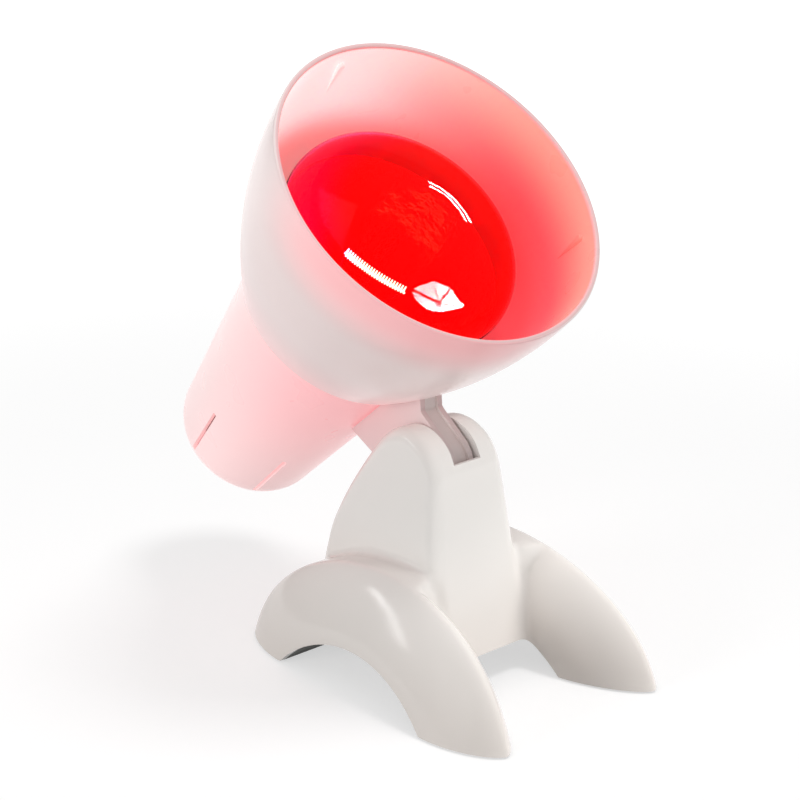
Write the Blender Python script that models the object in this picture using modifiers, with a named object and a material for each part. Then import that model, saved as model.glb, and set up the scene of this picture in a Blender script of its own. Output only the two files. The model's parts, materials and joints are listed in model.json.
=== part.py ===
"""Infrared heat therapy lamp on a two-arch table stand, in metres, +Z up, lamp facing -Y.

The stand is one hollow moulding with two arched legs and a slotted tower. A bolt through the tower's
cheeks carries the fin of the shade. The rear housing is screwed to the shade, and it holds the
lampholder and the bulb.
"""

import math

import bmesh
import bpy
from mathutils import Matrix, Vector

# General
GAP = 0.0003
OVERRUN = 0.004
RIM_EASE = 0.0005
MERGE_DISTANCE = 0.00001

# Stand legs: two arches seen from the side, tied by the tower
STAND_CENTRE_Y = -0.0379
RIDGE_SPACING = 0.0648
LEG_HALF_WIDTH = 0.0166
LEG_REACH = 0.0723
LEG_RISE = 0.0529
LEG_CENTRE_Z = -0.0074
TUNNEL_RADIUS = 0.0546
TUNNEL_CENTRE_Z = -0.0365
LEG_SINK = math.radians(10)
LEG_SKIRT_SHARE = 0.15
SPLAY_AT_TIP = 0.0056
STAND_WALL = 0.0025
FOOT_LIFT = 0.0008
FREE_SECTION_POWER = 1.36
SADDLE_SECTION_POWER = 5.0
SADDLE_FRONT = 0.0089
SADDLE_REAR = 0.0441
SADDLE_FADE = 0.009

# Tower
TOWER_FRONT = 0.0269
TOWER_DEPTH = 0.081
TOWER_HEIGHT = 0.0948
TOWER_TOP_HALF_WIDTH = 0.0164
TOWER_DRAFT = 0.108
TOWER_EDGE_RADIUS = 0.005
SLOT_HALF_WIDTH = 0.0066
SLOT_FRONT_Z = 0.0834
SLOT_FLOOR_Z = 0.062
CHEEK_THICKNESS = 0.0022
REAR_ARCH_HEIGHT = 0.0075
REAR_ARCH_HALF_WIDTH = 0.0165
REAR_ARCH_START = 0.031

# Tilt joint
PIVOT_FROM_STAND_CENTRE = 0.0072
PIVOT_HEIGHT = 0.0786
REST_ELEVATION = math.radians(46.1)
BOLT_RADIUS = 0.0025
BORE_CLEARANCE = 0.0001
NUT_BORE_RADIUS = 0.003
POCKET_CLEARANCE = 0.0008
BOLT_HEAD_RADIUS = 0.0046
BOLT_HEAD_THICKNESS = 0.0032
WASHER_RADIUS = 0.005
WASHER_THICKNESS = 0.0008
SPRING_WASHER_THICKNESS = 0.0012
SPRING_WASHER_SPLIT = 0.0008
NUT_THICKNESS = 0.0027
FRICTION_WASHER_RADIUS = 0.0085

# Head fin, in the head's frame: Y from the pivot towards the lamp axis, Z forwards along it
AXIS_ABOVE_PIVOT = 0.0723
SEAM_BEHIND_PIVOT = 0.0009
FIN_HALF_WIDTH = 0.0054
FIN_PLATE = 0.0023
LUG_RADIUS = 0.0138
FIN_FLARE = 0.0015
FIN_NECK_HEIGHT = 0.0163
FIN_NECK_SET_BACK = 0.002
FIN_ROOT_BEHIND_SEAM = 0.0282
FIN_KNEE_HEIGHT = 0.0211
FIN_KNEE_BEHIND_PIVOT = 0.025
WEB_RECESS = 0.0013
WEB_THICKNESS = 0.002
WEB_WRAP = math.radians(42)
HUB_RADIUS = 0.0055

# Shade and rear housing, turned about the lamp axis
SHADE_LENGTH = 0.0778
SHADE_REAR_RADIUS = 0.0444
SHADE_MIDDLE_RADIUS = 0.0602
RIM_RADIUS = 0.0661
SHADE_WALL = 0.002
SHADE_FLANGE_RADIUS = 0.0347
SHADE_FLANGE_THICKNESS = 0.0025
HOUSING_LENGTH = 0.1036
HOUSING_FRONT_RADIUS = 0.0414
HOUSING_REAR_RADIUS = 0.031
HOUSING_REAR_ROUNDING = 0.015
HOUSING_WALL = 0.002
VENT_COUNT = 6
VENT_LENGTH = 0.0295
VENT_WIDTH = 0.0018
VENT_FROM_SEAM = 0.064
VENT_TURN = math.radians(-4)
LEAF_COUNT = 3
LEAF_LENGTH = 0.0165
LEAF_WIDTH = 0.0028
LEAF_HEIGHT = 0.0016
LEAF_FROM_RIM = 0.0075
LEAF_TURN = math.radians(-4)

# Shade screws and their bosses
SHADE_SCREW_COUNT = 3
SHADE_BOSS_RADIUS = 0.0026
SHADE_BOSS_LENGTH = 0.014
SHADE_BOSS_FROM_AXIS = 0.0373

# Lampholder, fixed on a strap across the rear of the housing
HOLDER_RADIUS = 0.0195
HOLDER_BASE_RADIUS = 0.0172
HOLDER_BASE_LENGTH = 0.012
HOLDER_LENGTH = 0.034
HOLDER_BORE = 0.0149
HOLDER_FLOOR = 0.0035
SLEEVE_CREST_RADIUS = 0.0137
SLEEVE_WALL = 0.0005
SLEEVE_WAVE = 0.0004
SLEEVE_TURNS = 6
SLEEVE_LENGTH = 0.024
STRAP_LENGTH = 0.05
STRAP_WIDTH = 0.013
STRAP_THICKNESS = 0.0015
STRAP_FROM_REAR = 0.016
STRAP_SCREW_OFFSET = 0.0205
STRAP_BOSS_RADIUS = 0.0034
BODY_SCREW_OFFSET = 0.008
CONTACT_SPRING_RADIUS = 0.0035
CONTACT_SPRING_THICKNESS = 0.0012
CAP_ABOVE_HOLDER_FLOOR = 0.0048
TERMINAL_BLOCK_SIZE = (0.018, 0.009, 0.008)
TERMINAL_BLOCK_OFFSET = 0.0155
TERMINAL_PAD_RISE = 0.0043
TERMINAL_SCREW_GRIP = 0.003
TERMINAL_BORE = 0.0017
LEAD_RADIUS = 0.0011
LEAD_SPACING = 0.0117
LEAD_HOLE_RISE = 0.0105

# Cord gland
GLAND_FLANGE_RADIUS = 0.008
GLAND_FLANGE_THICKNESS = 0.0028
GLAND_NECK_RADIUS = 0.0052
GLAND_NECK_LENGTH = 0.0085
GLAND_BORE = 0.0034
GLAND_NUT_RADIUS = 0.0088
GLAND_NUT_BORE = 0.0062
GLAND_NUT_THICKNESS = 0.0035

# Bulb
BULB_RADIUS = 0.0475
BULB_BOWL_LENGTH = 0.0589
BULB_FACE_BEHIND_RIM = 0.0176
BULB_GLASS = 0.001
BULB_SHOULDER_RADIUS = 0.013
BULB_FACE_RISE = 0.0035
CAP_RADIUS = 0.01315
CAP_LENGTH = 0.0265
CAP_WALL = 0.0005
CAP_THREAD_DEPTH = 0.0006
CAP_THREAD_PITCH = 0.0036
CAP_THREAD_TURNS = 4
CAP_THREAD_START = 0.003
NECK_IN_CAP = 0.003
CAP_END_RADIUS = 0.0075
CAP_END_CONE = 0.0035
BUTTON_RADIUS = 0.0045
BUTTON_THICKNESS = 0.0012
STEM_RADIUS = 0.0065
STEM_LENGTH = 0.03
STEM_TOP_RADIUS = 0.0035
FILAMENT_FROM_FACE = 0.036
FILAMENT_SPAN = 0.027
FILAMENT_SAG = 0.0015
FILAMENT_TURN = math.radians(-53.5)
FILAMENT_RADIUS = 0.0009
SUPPORT_WIRE_RADIUS = 0.0006
SUPPORT_WIRE_OFFSET = 0.0022

# Bottom cover, foot pads and plain screws
COVER_Z = 0.021
COVER_THICKNESS = 0.002
COVER_HALF_WIDTH = 0.0295
COVER_FRONT = 0.0165
COVER_REAR = 0.0355
COVER_CORNER = 0.006
COVER_SCREW_X = 0.0255
COVER_SCREW_FRONT = 0.0115
COVER_SCREW_REAR = 0.0275
COVER_BOSS_RADIUS = 0.0036
SCREW_RADIUS = 0.0013
SCREW_HEAD_RADIUS = 0.0026
SCREW_HEAD_HEIGHT = 0.0018
SCREW_SLOT_WIDTH = 0.0006
SCREW_SLOT_DEPTH = 0.0009
COVER_SCREW_LENGTH = 0.012
SHADE_SCREW_LENGTH = 0.0115
STRAP_SCREW_LENGTH = 0.009
BODY_SCREW_LENGTH = 0.0042
PAD_HEIGHT = 0.006

# Counts of facets
TURN_STEPS = 40
SMALL_STEPS = 16

# Outline of the tower from the side: shares of its depth (front to rear) and of its height
tower_outline_shares = (
    (0.000, 0.053), (0.031, 0.127), (0.090, 0.274), (0.136, 0.422), (0.165, 0.553),
    (0.186, 0.691), (0.206, 0.812), (0.226, 0.880), (0.274, 0.945), (0.354, 0.987),
    (0.438, 1.000), (0.525, 0.986), (0.599, 0.945), (0.681, 0.862), (0.790, 0.726),
    (0.867, 0.610), (0.920, 0.509), (0.949, 0.403), (0.981, 0.232), (1.000, 0.053),
)
# Bulb outline behind its shoulder: shares of the bowl's length, and then of the neck from the bowl to
# the cap, with shares of the bulb's radius
bulb_bowl_shares = ((0.193548, 0.965), (0.403226, 0.880), (0.612903, 0.755), (0.806452, 0.630), (1.0, 0.510))
bulb_neck_shares = ((0.315789, 0.415), (0.631579, 0.345), (0.868421, 0.310), (1.0, 0.268))

RIDGE_X = RIDGE_SPACING / 2
PIVOT_Y = STAND_CENTRE_Y + PIVOT_FROM_STAND_CENTRE
HEAD_TURN = math.pi / 2 - REST_ELEVATION
SEAM_Z = -SEAM_BEHIND_PIVOT
RIM_Z = SEAM_Z + SHADE_LENGTH
HOUSING_FRONT_Z = SEAM_Z - GAP
HOUSING_REAR_Z = HOUSING_FRONT_Z - HOUSING_LENGTH
STRAP_Z = HOUSING_REAR_Z + STRAP_FROM_REAR
TERMINAL_PAD_Z = HOUSING_REAR_Z + TERMINAL_PAD_RISE
HOLDER_Z = STRAP_Z + STRAP_THICKNESS + GAP
BULB_FACE_Z = RIM_Z - BULB_FACE_BEHIND_RIM
CAP_END_Z = HOLDER_Z + HOLDER_FLOOR + CAP_ABOVE_HOLDER_FLOOR
CAP_TOP_Z = CAP_END_Z + CAP_LENGTH


def clear_scene():
    for item in list(bpy.data.objects):
        bpy.data.objects.remove(item, do_unlink=True)


clear_scene()

PARTS = bpy.data.collections.new("infrared_lamp")
CUTTERS = bpy.data.collections.new("cutters")
for group in (PARTS, CUTTERS):
    bpy.context.scene.collection.children.link(group)


def material(name, colour, roughness, metallic=0.0, transmission=0.0):
    made = bpy.data.materials.new(name)
    made.use_nodes = True
    shader = made.node_tree.nodes["Principled BSDF"]
    shader.inputs["Base Color"].default_value = (*colour, 1.0)
    shader.inputs["Roughness"].default_value = roughness
    shader.inputs["Metallic"].default_value = metallic
    shader.inputs["Transmission Weight"].default_value = transmission
    return made


WHITE_PLASTIC = material("white_plastic", (0.82, 0.81, 0.79), 0.25)
SHADE_PLASTIC = material("shade_plastic", (0.88, 0.74, 0.74), 0.3)
HOUSING_PLASTIC = material("housing_plastic", (0.92, 0.60, 0.60), 0.35)
RED_GLASS = material("red_glass", (0.75, 0.01, 0.02), 0.05, transmission=0.4)
STEEL = material("steel", (0.60, 0.60, 0.62), 0.3, metallic=1.0)
BRASS = material("brass", (0.78, 0.60, 0.30), 0.3, metallic=1.0)
PORCELAIN = material("porcelain", (0.86, 0.85, 0.82), 0.2)
CLEAR_GLASS = material("clear_glass", (0.9, 0.9, 0.9), 0.05, transmission=0.9)
BLACK_GLASS = material("black_glass", (0.02, 0.02, 0.02), 0.15)
TUNGSTEN = material("tungsten", (0.95, 0.75, 0.35), 0.5, metallic=0.5)
RUBBER = material("rubber", (0.55, 0.55, 0.54), 0.8)
NYLON = material("nylon", (0.78, 0.77, 0.75), 0.5)
FIBRE = material("fibre", (0.35, 0.16, 0.10), 0.7)
SILICONE = material("silicone", (0.70, 0.30, 0.26), 0.6)


def frame(name, location, parent=None, rotation=(0.0, 0.0, 0.0)):
    """An empty that carries the pieces that are placed from it."""
    empty = bpy.data.objects.new(name, None)
    PARTS.objects.link(empty)
    empty.location = location
    empty.rotation_euler = rotation
    empty.parent = parent
    return empty


HEAD = frame("head_frame", (0.0, PIVOT_Y, PIVOT_HEIGHT), rotation=(HEAD_TURN, 0.0, 0.0))
LAMP_AXIS = frame("lamp_axis_frame", (0.0, AXIS_ABOVE_PIVOT, 0.0), parent=HEAD)
BULB_AXIS = frame("bulb_frame", (0.0, 0.0, 0.0), parent=LAMP_AXIS)


def add_object(name, mesh, finish=None, parent=None, location=(0.0, 0.0, 0.0)):
    """A part when it has a finish, and otherwise a cutter or a guide."""
    made = bpy.data.objects.new(name, mesh)
    made.location = location
    made.parent = parent
    if finish is None:
        CUTTERS.objects.link(made)
        made.hide_render = True
        made.display_type = "WIRE"
    else:
        PARTS.objects.link(made)
        mesh.materials.append(finish)
        mesh.shade_smooth()
        mesh.set_sharp_from_angle(angle=math.radians(35))
    return made


def finish_mesh(name, shape):
    bmesh.ops.recalc_face_normals(shape, faces=shape.faces)
    mesh = bpy.data.meshes.new(name)
    shape.to_mesh(mesh)
    shape.free()
    return mesh


def box_mesh(name, low, high):
    shape = bmesh.new()
    size = Vector(high) - Vector(low)
    middle = (Vector(high) + Vector(low)) / 2
    place = Matrix.Translation(middle) @ Matrix.Diagonal((*size, 1.0))
    bmesh.ops.create_cube(shape, size=1.0, matrix=place)
    return finish_mesh(name, shape)


def rod_mesh(name, radius, start, end, steps=SMALL_STEPS, top_radius=None):
    """A cylinder or cone between two points."""
    shape = bmesh.new()
    line = Vector(end) - Vector(start)
    middle = Matrix.Translation((Vector(start) + Vector(end)) / 2)
    place = middle @ line.to_track_quat("Z", "Y").to_matrix().to_4x4()
    bmesh.ops.create_cone(
        shape, cap_ends=True, segments=steps, radius1=radius,
        radius2=radius if top_radius is None else top_radius, depth=line.length, matrix=place,
    )
    return finish_mesh(name, shape)


def prism_mesh(name, outline, low_x, high_x):
    """A flat outline in the YZ plane, thick along X."""
    shape = bmesh.new()
    verts = [shape.verts.new((low_x, y, z)) for y, z in outline]
    face = shape.faces.new(verts)
    pushed = bmesh.ops.extrude_face_region(shape, geom=[face])["geom"]
    moved = [item for item in pushed if isinstance(item, bmesh.types.BMVert)]
    bmesh.ops.translate(shape, verts=moved, vec=(high_x - low_x, 0.0, 0.0))
    return finish_mesh(name, shape)


def plate_mesh(name, outline, low_z, high_z):
    """A flat outline in the XY plane, thick along Z."""
    shape = bmesh.new()
    face = shape.faces.new([shape.verts.new((x, y, low_z)) for x, y in outline])
    pushed = bmesh.ops.extrude_face_region(shape, geom=[face])["geom"]
    moved = [item for item in pushed if isinstance(item, bmesh.types.BMVert)]
    bmesh.ops.translate(shape, verts=moved, vec=(0.0, 0.0, high_z - low_z))
    return finish_mesh(name, shape)


def turned(name, profile, finish, parent, location=(0.0, 0.0, 0.0), steps=TURN_STEPS, closed=True):
    """A profile of (radius, height) spun about Z by a Screw modifier."""
    mesh = bpy.data.meshes.new(name)
    count = len(profile)
    edges = [(i, i + 1) for i in range(count - 1)]
    if closed:
        edges.append((count - 1, 0))
    mesh.from_pydata([(radius, 0.0, height) for radius, height in profile], edges, [])
    made = add_object(name, mesh, finish, parent, location)
    spin = made.modifiers.new("turn", "SCREW")
    spin.steps = spin.render_steps = steps
    spin.use_merge_vertices = True
    spin.merge_threshold = MERGE_DISTANCE
    return made


def boolean(target, operation, *others):
    for other in others:
        cut = target.modifiers.new(f"{operation.lower()}_{other.name}", "BOOLEAN")
        cut.operation = operation
        cut.object = other
        cut.solver = "EXACT"


def smooth_curve(points, steps):
    """A Catmull-Rom curve through the points."""
    padded = [2 * points[0] - points[1], *points, 2 * points[-1] - points[-2]]
    curve = []
    for before, start, end, after in zip(padded, padded[1:], padded[2:], padded[3:]):
        for i in range(steps):
            t = i / steps
            curve.append(0.5 * (
                2 * start + (end - before) * t
                + (2 * before - 5 * start + 4 * end - after) * t ** 2
                + (3 * start - before - 3 * end + after) * t ** 3
            ))
    curve.append(points[-1])
    return curve


def offset_curve(points, distance):
    """The curve moved sideways, to the right of its own direction."""
    moved = []
    for i, point in enumerate(points):
        ahead = points[min(i + 1, len(points) - 1)]
        behind = points[max(i - 1, 0)]
        along = (ahead - behind).normalized()
        moved.append(point + distance * Vector((along.y, -along.x)))
    return moved


def tower_solid(name, inset, drop, curve_steps, edge_steps, finish=None):
    """The tower as a rounded slab: its side outline, drawn in at both edges, and widened downwards."""
    front_y = STAND_CENTRE_Y - TOWER_FRONT
    outline = smooth_curve(
        [Vector((front_y + y * TOWER_DEPTH, z * TOWER_HEIGHT)) for y, z in tower_outline_shares], curve_steps
    )
    outline = offset_curve(outline, inset)
    radius = TOWER_EDGE_RADIUS - inset
    half = TOWER_TOP_HALF_WIDTH - inset
    rows = [(half - radius + radius * math.sin(math.pi / 2 * i / edge_steps),
             radius * (1 - math.cos(math.pi / 2 * i / edge_steps))) for i in range(edge_steps + 1)]
    rows = [(-x, d) for x, d in reversed(rows)] + rows
    shape = bmesh.new()
    rings = []
    for x, drawn_in in rows:
        row = offset_curve(outline, drawn_in)
        row = [Vector((row[0].x, row[0].y - drop)), *row, Vector((row[-1].x, row[-1].y - drop))]
        ring = []
        for point in row:
            widening = 1 + TOWER_DRAFT * (TOWER_HEIGHT - point.y) / TOWER_TOP_HALF_WIDTH
            ring.append(shape.verts.new((x * widening, point.x, point.y)))
        rings.append(ring)
    loft(shape, rings)
    return add_object(name, finish_mesh(name, shape), finish)


def loft(shape, rings):
    """Quads between closed rings of equal count, and a face on each end."""
    for first, second in zip(rings, rings[1:]):
        for i in range(len(first)):
            k = (i + 1) % len(first)
            shape.faces.new((first[i], first[k], second[k], second[i]))
    shape.faces.new(list(reversed(rings[0])))
    shape.faces.new(rings[-1])


def saddle_share(y):
    """How far a leg's section is squared up beside the tower: 1 beside it, 0 clear of it."""
    ahead = (y + SADDLE_FRONT + SADDLE_FADE) / SADDLE_FADE
    behind = (SADDLE_REAR + SADDLE_FADE - y) / SADDLE_FADE
    share = max(0.0, min(1.0, ahead, behind))
    return share * share * (3 - 2 * share)


def leg_solid(name, side, inset, length_steps, section_steps, finish=None):
    """One arched leg: between the tunnel's circle and the outer arch, wide below and drawn in to a ridge."""
    half = LEG_HALF_WIDTH - inset
    reach = LEG_REACH - inset
    rise = LEG_RISE - inset
    shape = bmesh.new()
    rings = []
    for i in range(length_steps + 1):
        angle = -LEG_SINK + (math.pi + 2 * LEG_SINK) * i / length_steps
        base = Vector((-TUNNEL_RADIUS * math.cos(angle), TUNNEL_CENTRE_Z + TUNNEL_RADIUS * math.sin(angle)))
        top = Vector((-reach * math.cos(angle), LEG_CENTRE_Z + rise * math.sin(angle)))
        ridge = RIDGE_X + SPLAY_AT_TIP * (top.x / LEG_REACH) ** 2
        inner_power = FREE_SECTION_POWER + (SADDLE_SECTION_POWER - FREE_SECTION_POWER) * saddle_share(top.x)
        section = [(half, -LEG_SKIRT_SHARE)]
        for k in range(section_steps + 1):
            turn = math.pi * k / section_steps
            power = FREE_SECTION_POWER if turn <= math.pi / 2 else inner_power
            across = math.copysign(abs(math.cos(turn)) ** (2 / power), math.cos(turn))
            section.append((half * across, abs(math.sin(turn)) ** (2 / power)))
        section.append((-half, -LEG_SKIRT_SHARE))
        ring = []
        for x, share in section:
            point = base + (top - base) * share
            ring.append(shape.verts.new((side * (ridge + x), STAND_CENTRE_Y + point.x, point.y)))
        rings.append(ring)
    loft(shape, rings)
    return add_object(name, finish_mesh(name, shape), finish)


def stand_box(name, low, high, finish=None):
    """A box whose Y sizes are counted from the middle of the stand."""
    return add_object(name, box_mesh(
        name, (low[0], STAND_CENTRE_Y + low[1], low[2]), (high[0], STAND_CENTRE_Y + high[1], high[2])
    ), finish)


def tunnel_cutter(name, radius):
    """The one round arch that runs under the whole stand from side to side."""
    far = RIDGE_X + 2 * LEG_HALF_WIDTH
    start = (-far, STAND_CENTRE_Y, TUNNEL_CENTRE_Z)
    end = (far, STAND_CENTRE_Y, TUNNEL_CENTRE_Z)
    return add_object(name, rod_mesh(name, radius, start, end, steps=72))


def cover_screw_places():
    return [(x, STAND_CENTRE_Y + y) for y in (-COVER_SCREW_FRONT, COVER_SCREW_REAR)
            for x in (-COVER_SCREW_X, COVER_SCREW_X)]


def add_stand():
    shell = tower_solid("stand_shell", 0.0, STAND_WALL + OVERRUN, 3, 4, WHITE_PLASTIC)
    cavity = tower_solid("stand_cavity", STAND_WALL, STAND_WALL + OVERRUN, 2, 2)
    for side in (-1, 1):
        word = "left" if side < 0 else "right"
        boolean(shell, "UNION", leg_solid(f"{word}_leg_form", side, 0.0, 32, 14))
        boolean(cavity, "UNION", leg_solid(f"{word}_leg_cavity", side, STAND_WALL, 20, 8))

    far = LEG_REACH + TOWER_DEPTH
    ground = stand_box("ground_cutter", (-far, -far, -far), (far, far, FOOT_LIFT))
    tunnel = tunnel_cutter("tunnel_cutter", TUNNEL_RADIUS)
    rear_arch = stand_box(
        "rear_arch_cutter", (-REAR_ARCH_HALF_WIDTH, REAR_ARCH_START, -OVERRUN),
        (REAR_ARCH_HALF_WIDTH, far, REAR_ARCH_HEIGHT),
    )
    boolean(shell, "DIFFERENCE", ground, tunnel, rear_arch)

    cheek_out = SLOT_HALF_WIDTH + CHEEK_THICKNESS
    slot_block = stand_box(
        "slot_walls", (-cheek_out, -far, SLOT_FLOOR_Z - CHEEK_THICKNESS),
        (cheek_out, far, TOWER_HEIGHT + OVERRUN),
    )
    boolean(cavity, "DIFFERENCE", slot_block)
    boss_foot = COVER_Z + COVER_THICKNESS + GAP
    for n, (x, y) in enumerate(cover_screw_places()):
        boss = add_object(f"cover_boss_{n}", rod_mesh(
            f"cover_boss_{n}", COVER_BOSS_RADIUS, (x, y, boss_foot), (x, y, LEG_RISE + OVERRUN)
        ))
        boolean(cavity, "DIFFERENCE", boss)
    boolean(shell, "DIFFERENCE", cavity)

    pivot_from_centre = PIVOT_Y - STAND_CENTRE_Y
    pocket_front = pivot_from_centre - LUG_RADIUS - POCKET_CLEARANCE
    recess = add_object("cover_recess", plate_mesh(
        "cover_recess", cover_outline(GAP), TUNNEL_CENTRE_Z + TUNNEL_RADIUS - OVERRUN, boss_foot))
    slot = stand_box(
        "slot_cutter", (-SLOT_HALF_WIDTH, -far, SLOT_FRONT_Z), (SLOT_HALF_WIDTH, far, TOWER_HEIGHT + OVERRUN)
    )
    pocket = stand_box(
        "pocket_cutter", (-SLOT_HALF_WIDTH, pocket_front, SLOT_FLOOR_Z),
        (SLOT_HALF_WIDTH, far, SLOT_FRONT_Z + OVERRUN),
    )
    bolt_hole = add_object("bolt_hole_cutter", rod_mesh(
        "bolt_hole_cutter", BOLT_RADIUS + BORE_CLEARANCE, (-cheek_out - OVERRUN / 2, PIVOT_Y, PIVOT_HEIGHT),
        (cheek_out + OVERRUN / 2, PIVOT_Y, PIVOT_HEIGHT), steps=24,
    ))
    boolean(shell, "DIFFERENCE", slot, pocket, bolt_hole, recess)
    for n, (x, y) in enumerate(cover_screw_places()):
        pilot = add_object(f"cover_pilot_{n}", rod_mesh(
            f"cover_pilot_{n}", SCREW_RADIUS + BORE_CLEARANCE, (x, y, boss_foot - OVERRUN),
            (x, y, COVER_Z + COVER_SCREW_LENGTH + GAP),
        ))
        boolean(shell, "DIFFERENCE", pilot)


def cover_outline(clearance):
    """The outline of the bottom cover with its round corners, and a clearance all round it."""
    low = Vector((-COVER_HALF_WIDTH, STAND_CENTRE_Y - COVER_FRONT))
    high = Vector((COVER_HALF_WIDTH, STAND_CENTRE_Y + COVER_REAR))
    inner_low = low + Vector((COVER_CORNER, COVER_CORNER))
    inner_high = high - Vector((COVER_CORNER, COVER_CORNER))
    corners = (
        (inner_high.x, inner_high.y), (inner_low.x, inner_high.y),
        (inner_low.x, inner_low.y), (inner_high.x, inner_low.y),
    )
    radius = COVER_CORNER + clearance
    outline = []
    for n, (x, y) in enumerate(corners):
        for k in range(5):
            turn = math.pi / 2 * (n + k / 4)
            outline.append((x + radius * math.cos(turn), y + radius * math.sin(turn)))
    return outline


def add_bottom_cover():
    mesh = plate_mesh("bottom_cover", cover_outline(0.0), COVER_Z, COVER_Z + COVER_THICKNESS)
    cover = add_object("bottom_cover", mesh, WHITE_PLASTIC)
    names = ("front_left", "front_right", "rear_left", "rear_right")
    for word, (x, y) in zip(names, cover_screw_places()):
        hole = add_object(f"cover_hole_{word}", rod_mesh(
            f"cover_hole_{word}", SCREW_RADIUS + BORE_CLEARANCE,
            (x, y, COVER_Z - OVERRUN), (x, y, COVER_Z + OVERRUN),
        ))
        boolean(cover, "DIFFERENCE", hole)
        add_screw(f"cover_screw_{word}", (x, y, COVER_Z - GAP), None, COVER_SCREW_LENGTH, upside_down=True)


def add_foot_pads():
    far = LEG_REACH + LEG_HALF_WIDTH
    hollow = tunnel_cutter("pad_tunnel_cutter", TUNNEL_RADIUS + GAP)
    for side, side_word in ((-1, "left"), (1, "right")):
        for end, end_word in ((-1, "front"), (1, "rear")):
            name = f"foot_pad_{end_word}_{side_word}"
            pad = leg_solid(name, side, STAND_WALL + GAP, 48, 8, RUBBER)
            ends = sorted((0.0, end * far))
            slab = stand_box(f"{name}_slab", (-far, ends[0], 0.0), (far, ends[1], PAD_HEIGHT))
            boolean(pad, "INTERSECT", slab)
            boolean(pad, "DIFFERENCE", hollow)


def add_screw(name, under_head, parent, length, upside_down=False):
    """A pan-head screw with a slotted head, its head down on a surface and its shank below it."""
    way = -1 if upside_down else 1
    ease = SCREW_HEAD_HEIGHT / 3
    outer = [
        (0.0, SCREW_HEAD_HEIGHT), (SCREW_HEAD_RADIUS - ease, SCREW_HEAD_HEIGHT),
        (SCREW_HEAD_RADIUS, SCREW_HEAD_HEIGHT - ease), (SCREW_HEAD_RADIUS, 0.0),
        (SCREW_RADIUS, 0.0), (SCREW_RADIUS, SCREW_RADIUS - length), (0.0, -length),
    ]
    profile = [(radius, way * height) for radius, height in outer]
    if upside_down:
        profile.reverse()
    screw = turned(name, profile, STEEL, parent, under_head, steps=10, closed=False)
    reach = SCREW_HEAD_RADIUS + GAP
    depths = sorted((way * (SCREW_HEAD_HEIGHT - SCREW_SLOT_DEPTH), way * (SCREW_HEAD_HEIGHT + GAP)))
    slot = add_object(f"{name}_slot", box_mesh(
        f"{name}_slot", (-reach, -SCREW_SLOT_WIDTH / 2, depths[0]), (reach, SCREW_SLOT_WIDTH / 2, depths[1])
    ), None, parent, under_head)
    boolean(screw, "DIFFERENCE", slot)


def add_ring(name, parent, low, thickness, outer, inner, finish, steps=24):
    return turned(
        name, [(outer, low + thickness), (outer, low), (inner, low), (inner, low + thickness)],
        finish, parent, steps=steps,
    )


def add_tilt_bolt():
    """The bolt, nut and washers of the tilt joint, along X."""
    axis = frame("tilt_axis_frame", (0.0, PIVOT_Y, PIVOT_HEIGHT), rotation=(0.0, math.pi / 2, 0.0))
    bore = BOLT_RADIUS + BORE_CLEARANCE
    cheek_out = SLOT_HALF_WIDTH + CHEEK_THICKNESS
    washer_low = cheek_out + GAP
    washer_high = washer_low + WASHER_THICKNESS
    add_ring("washer_left", axis, -washer_high, WASHER_THICKNESS, WASHER_RADIUS, bore, STEEL)
    add_ring("washer_right", axis, washer_low, WASHER_THICKNESS, WASHER_RADIUS, bore, STEEL)
    spring_low = washer_high + GAP
    spring = add_ring(
        "spring_washer", axis, spring_low, SPRING_WASHER_THICKNESS, BOLT_HEAD_RADIUS, bore, STEEL
    )
    split = add_object("spring_washer_split", box_mesh(
        "spring_washer_split", (0.0, -SPRING_WASHER_SPLIT / 2, spring_low - GAP),
        (WASHER_RADIUS, SPRING_WASHER_SPLIT / 2, spring_low + SPRING_WASHER_THICKNESS + GAP),
    ), None, axis)
    boolean(spring, "DIFFERENCE", split)
    nut_low = spring_low + SPRING_WASHER_THICKNESS + GAP
    add_ring("pivot_nut", axis, nut_low, NUT_THICKNESS, BOLT_HEAD_RADIUS, NUT_BORE_RADIUS, STEEL, steps=6)
    head_high = -washer_high - GAP
    turned("pivot_bolt", [
        (0.0, nut_low + NUT_THICKNESS), (BOLT_RADIUS - BOLT_RADIUS / 5, nut_low + NUT_THICKNESS),
        (BOLT_RADIUS, nut_low + NUT_THICKNESS - BOLT_RADIUS / 5), (BOLT_RADIUS, head_high),
        (BOLT_HEAD_RADIUS, head_high), (BOLT_HEAD_RADIUS, head_high - BOLT_HEAD_THICKNESS * 2 / 3),
        (BOLT_HEAD_RADIUS - BOLT_HEAD_THICKNESS / 3, head_high - BOLT_HEAD_THICKNESS),
        (0.0, head_high - BOLT_HEAD_THICKNESS),
    ], STEEL, axis, steps=24, closed=False)
    thickness = SLOT_HALF_WIDTH - FIN_HALF_WIDTH - 2 * GAP
    for word, low in (("left", -FIN_HALF_WIDTH - GAP - thickness), ("right", FIN_HALF_WIDTH + GAP)):
        add_ring(f"friction_washer_{word}", axis, low, thickness, FRICTION_WASHER_RADIUS, bore, FIBRE)


def shade_radius(height):
    """Outer radius of the shade at a height along the lamp axis: a parabola through three sizes."""
    u = (height - SEAM_Z) / SHADE_LENGTH
    return (SHADE_REAR_RADIUS * (1 - u) * (1 - 2 * u) + SHADE_MIDDLE_RADIUS * 4 * u * (1 - u)
            + RIM_RADIUS * u * (2 * u - 1))


def shade_outer_profile(steps):
    """The outside of the shade from the rim down to the seam."""
    return [Vector((shade_radius(RIM_Z - SHADE_LENGTH * i / steps), RIM_Z - SHADE_LENGTH * i / steps))
            for i in range(steps + 1)]


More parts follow.
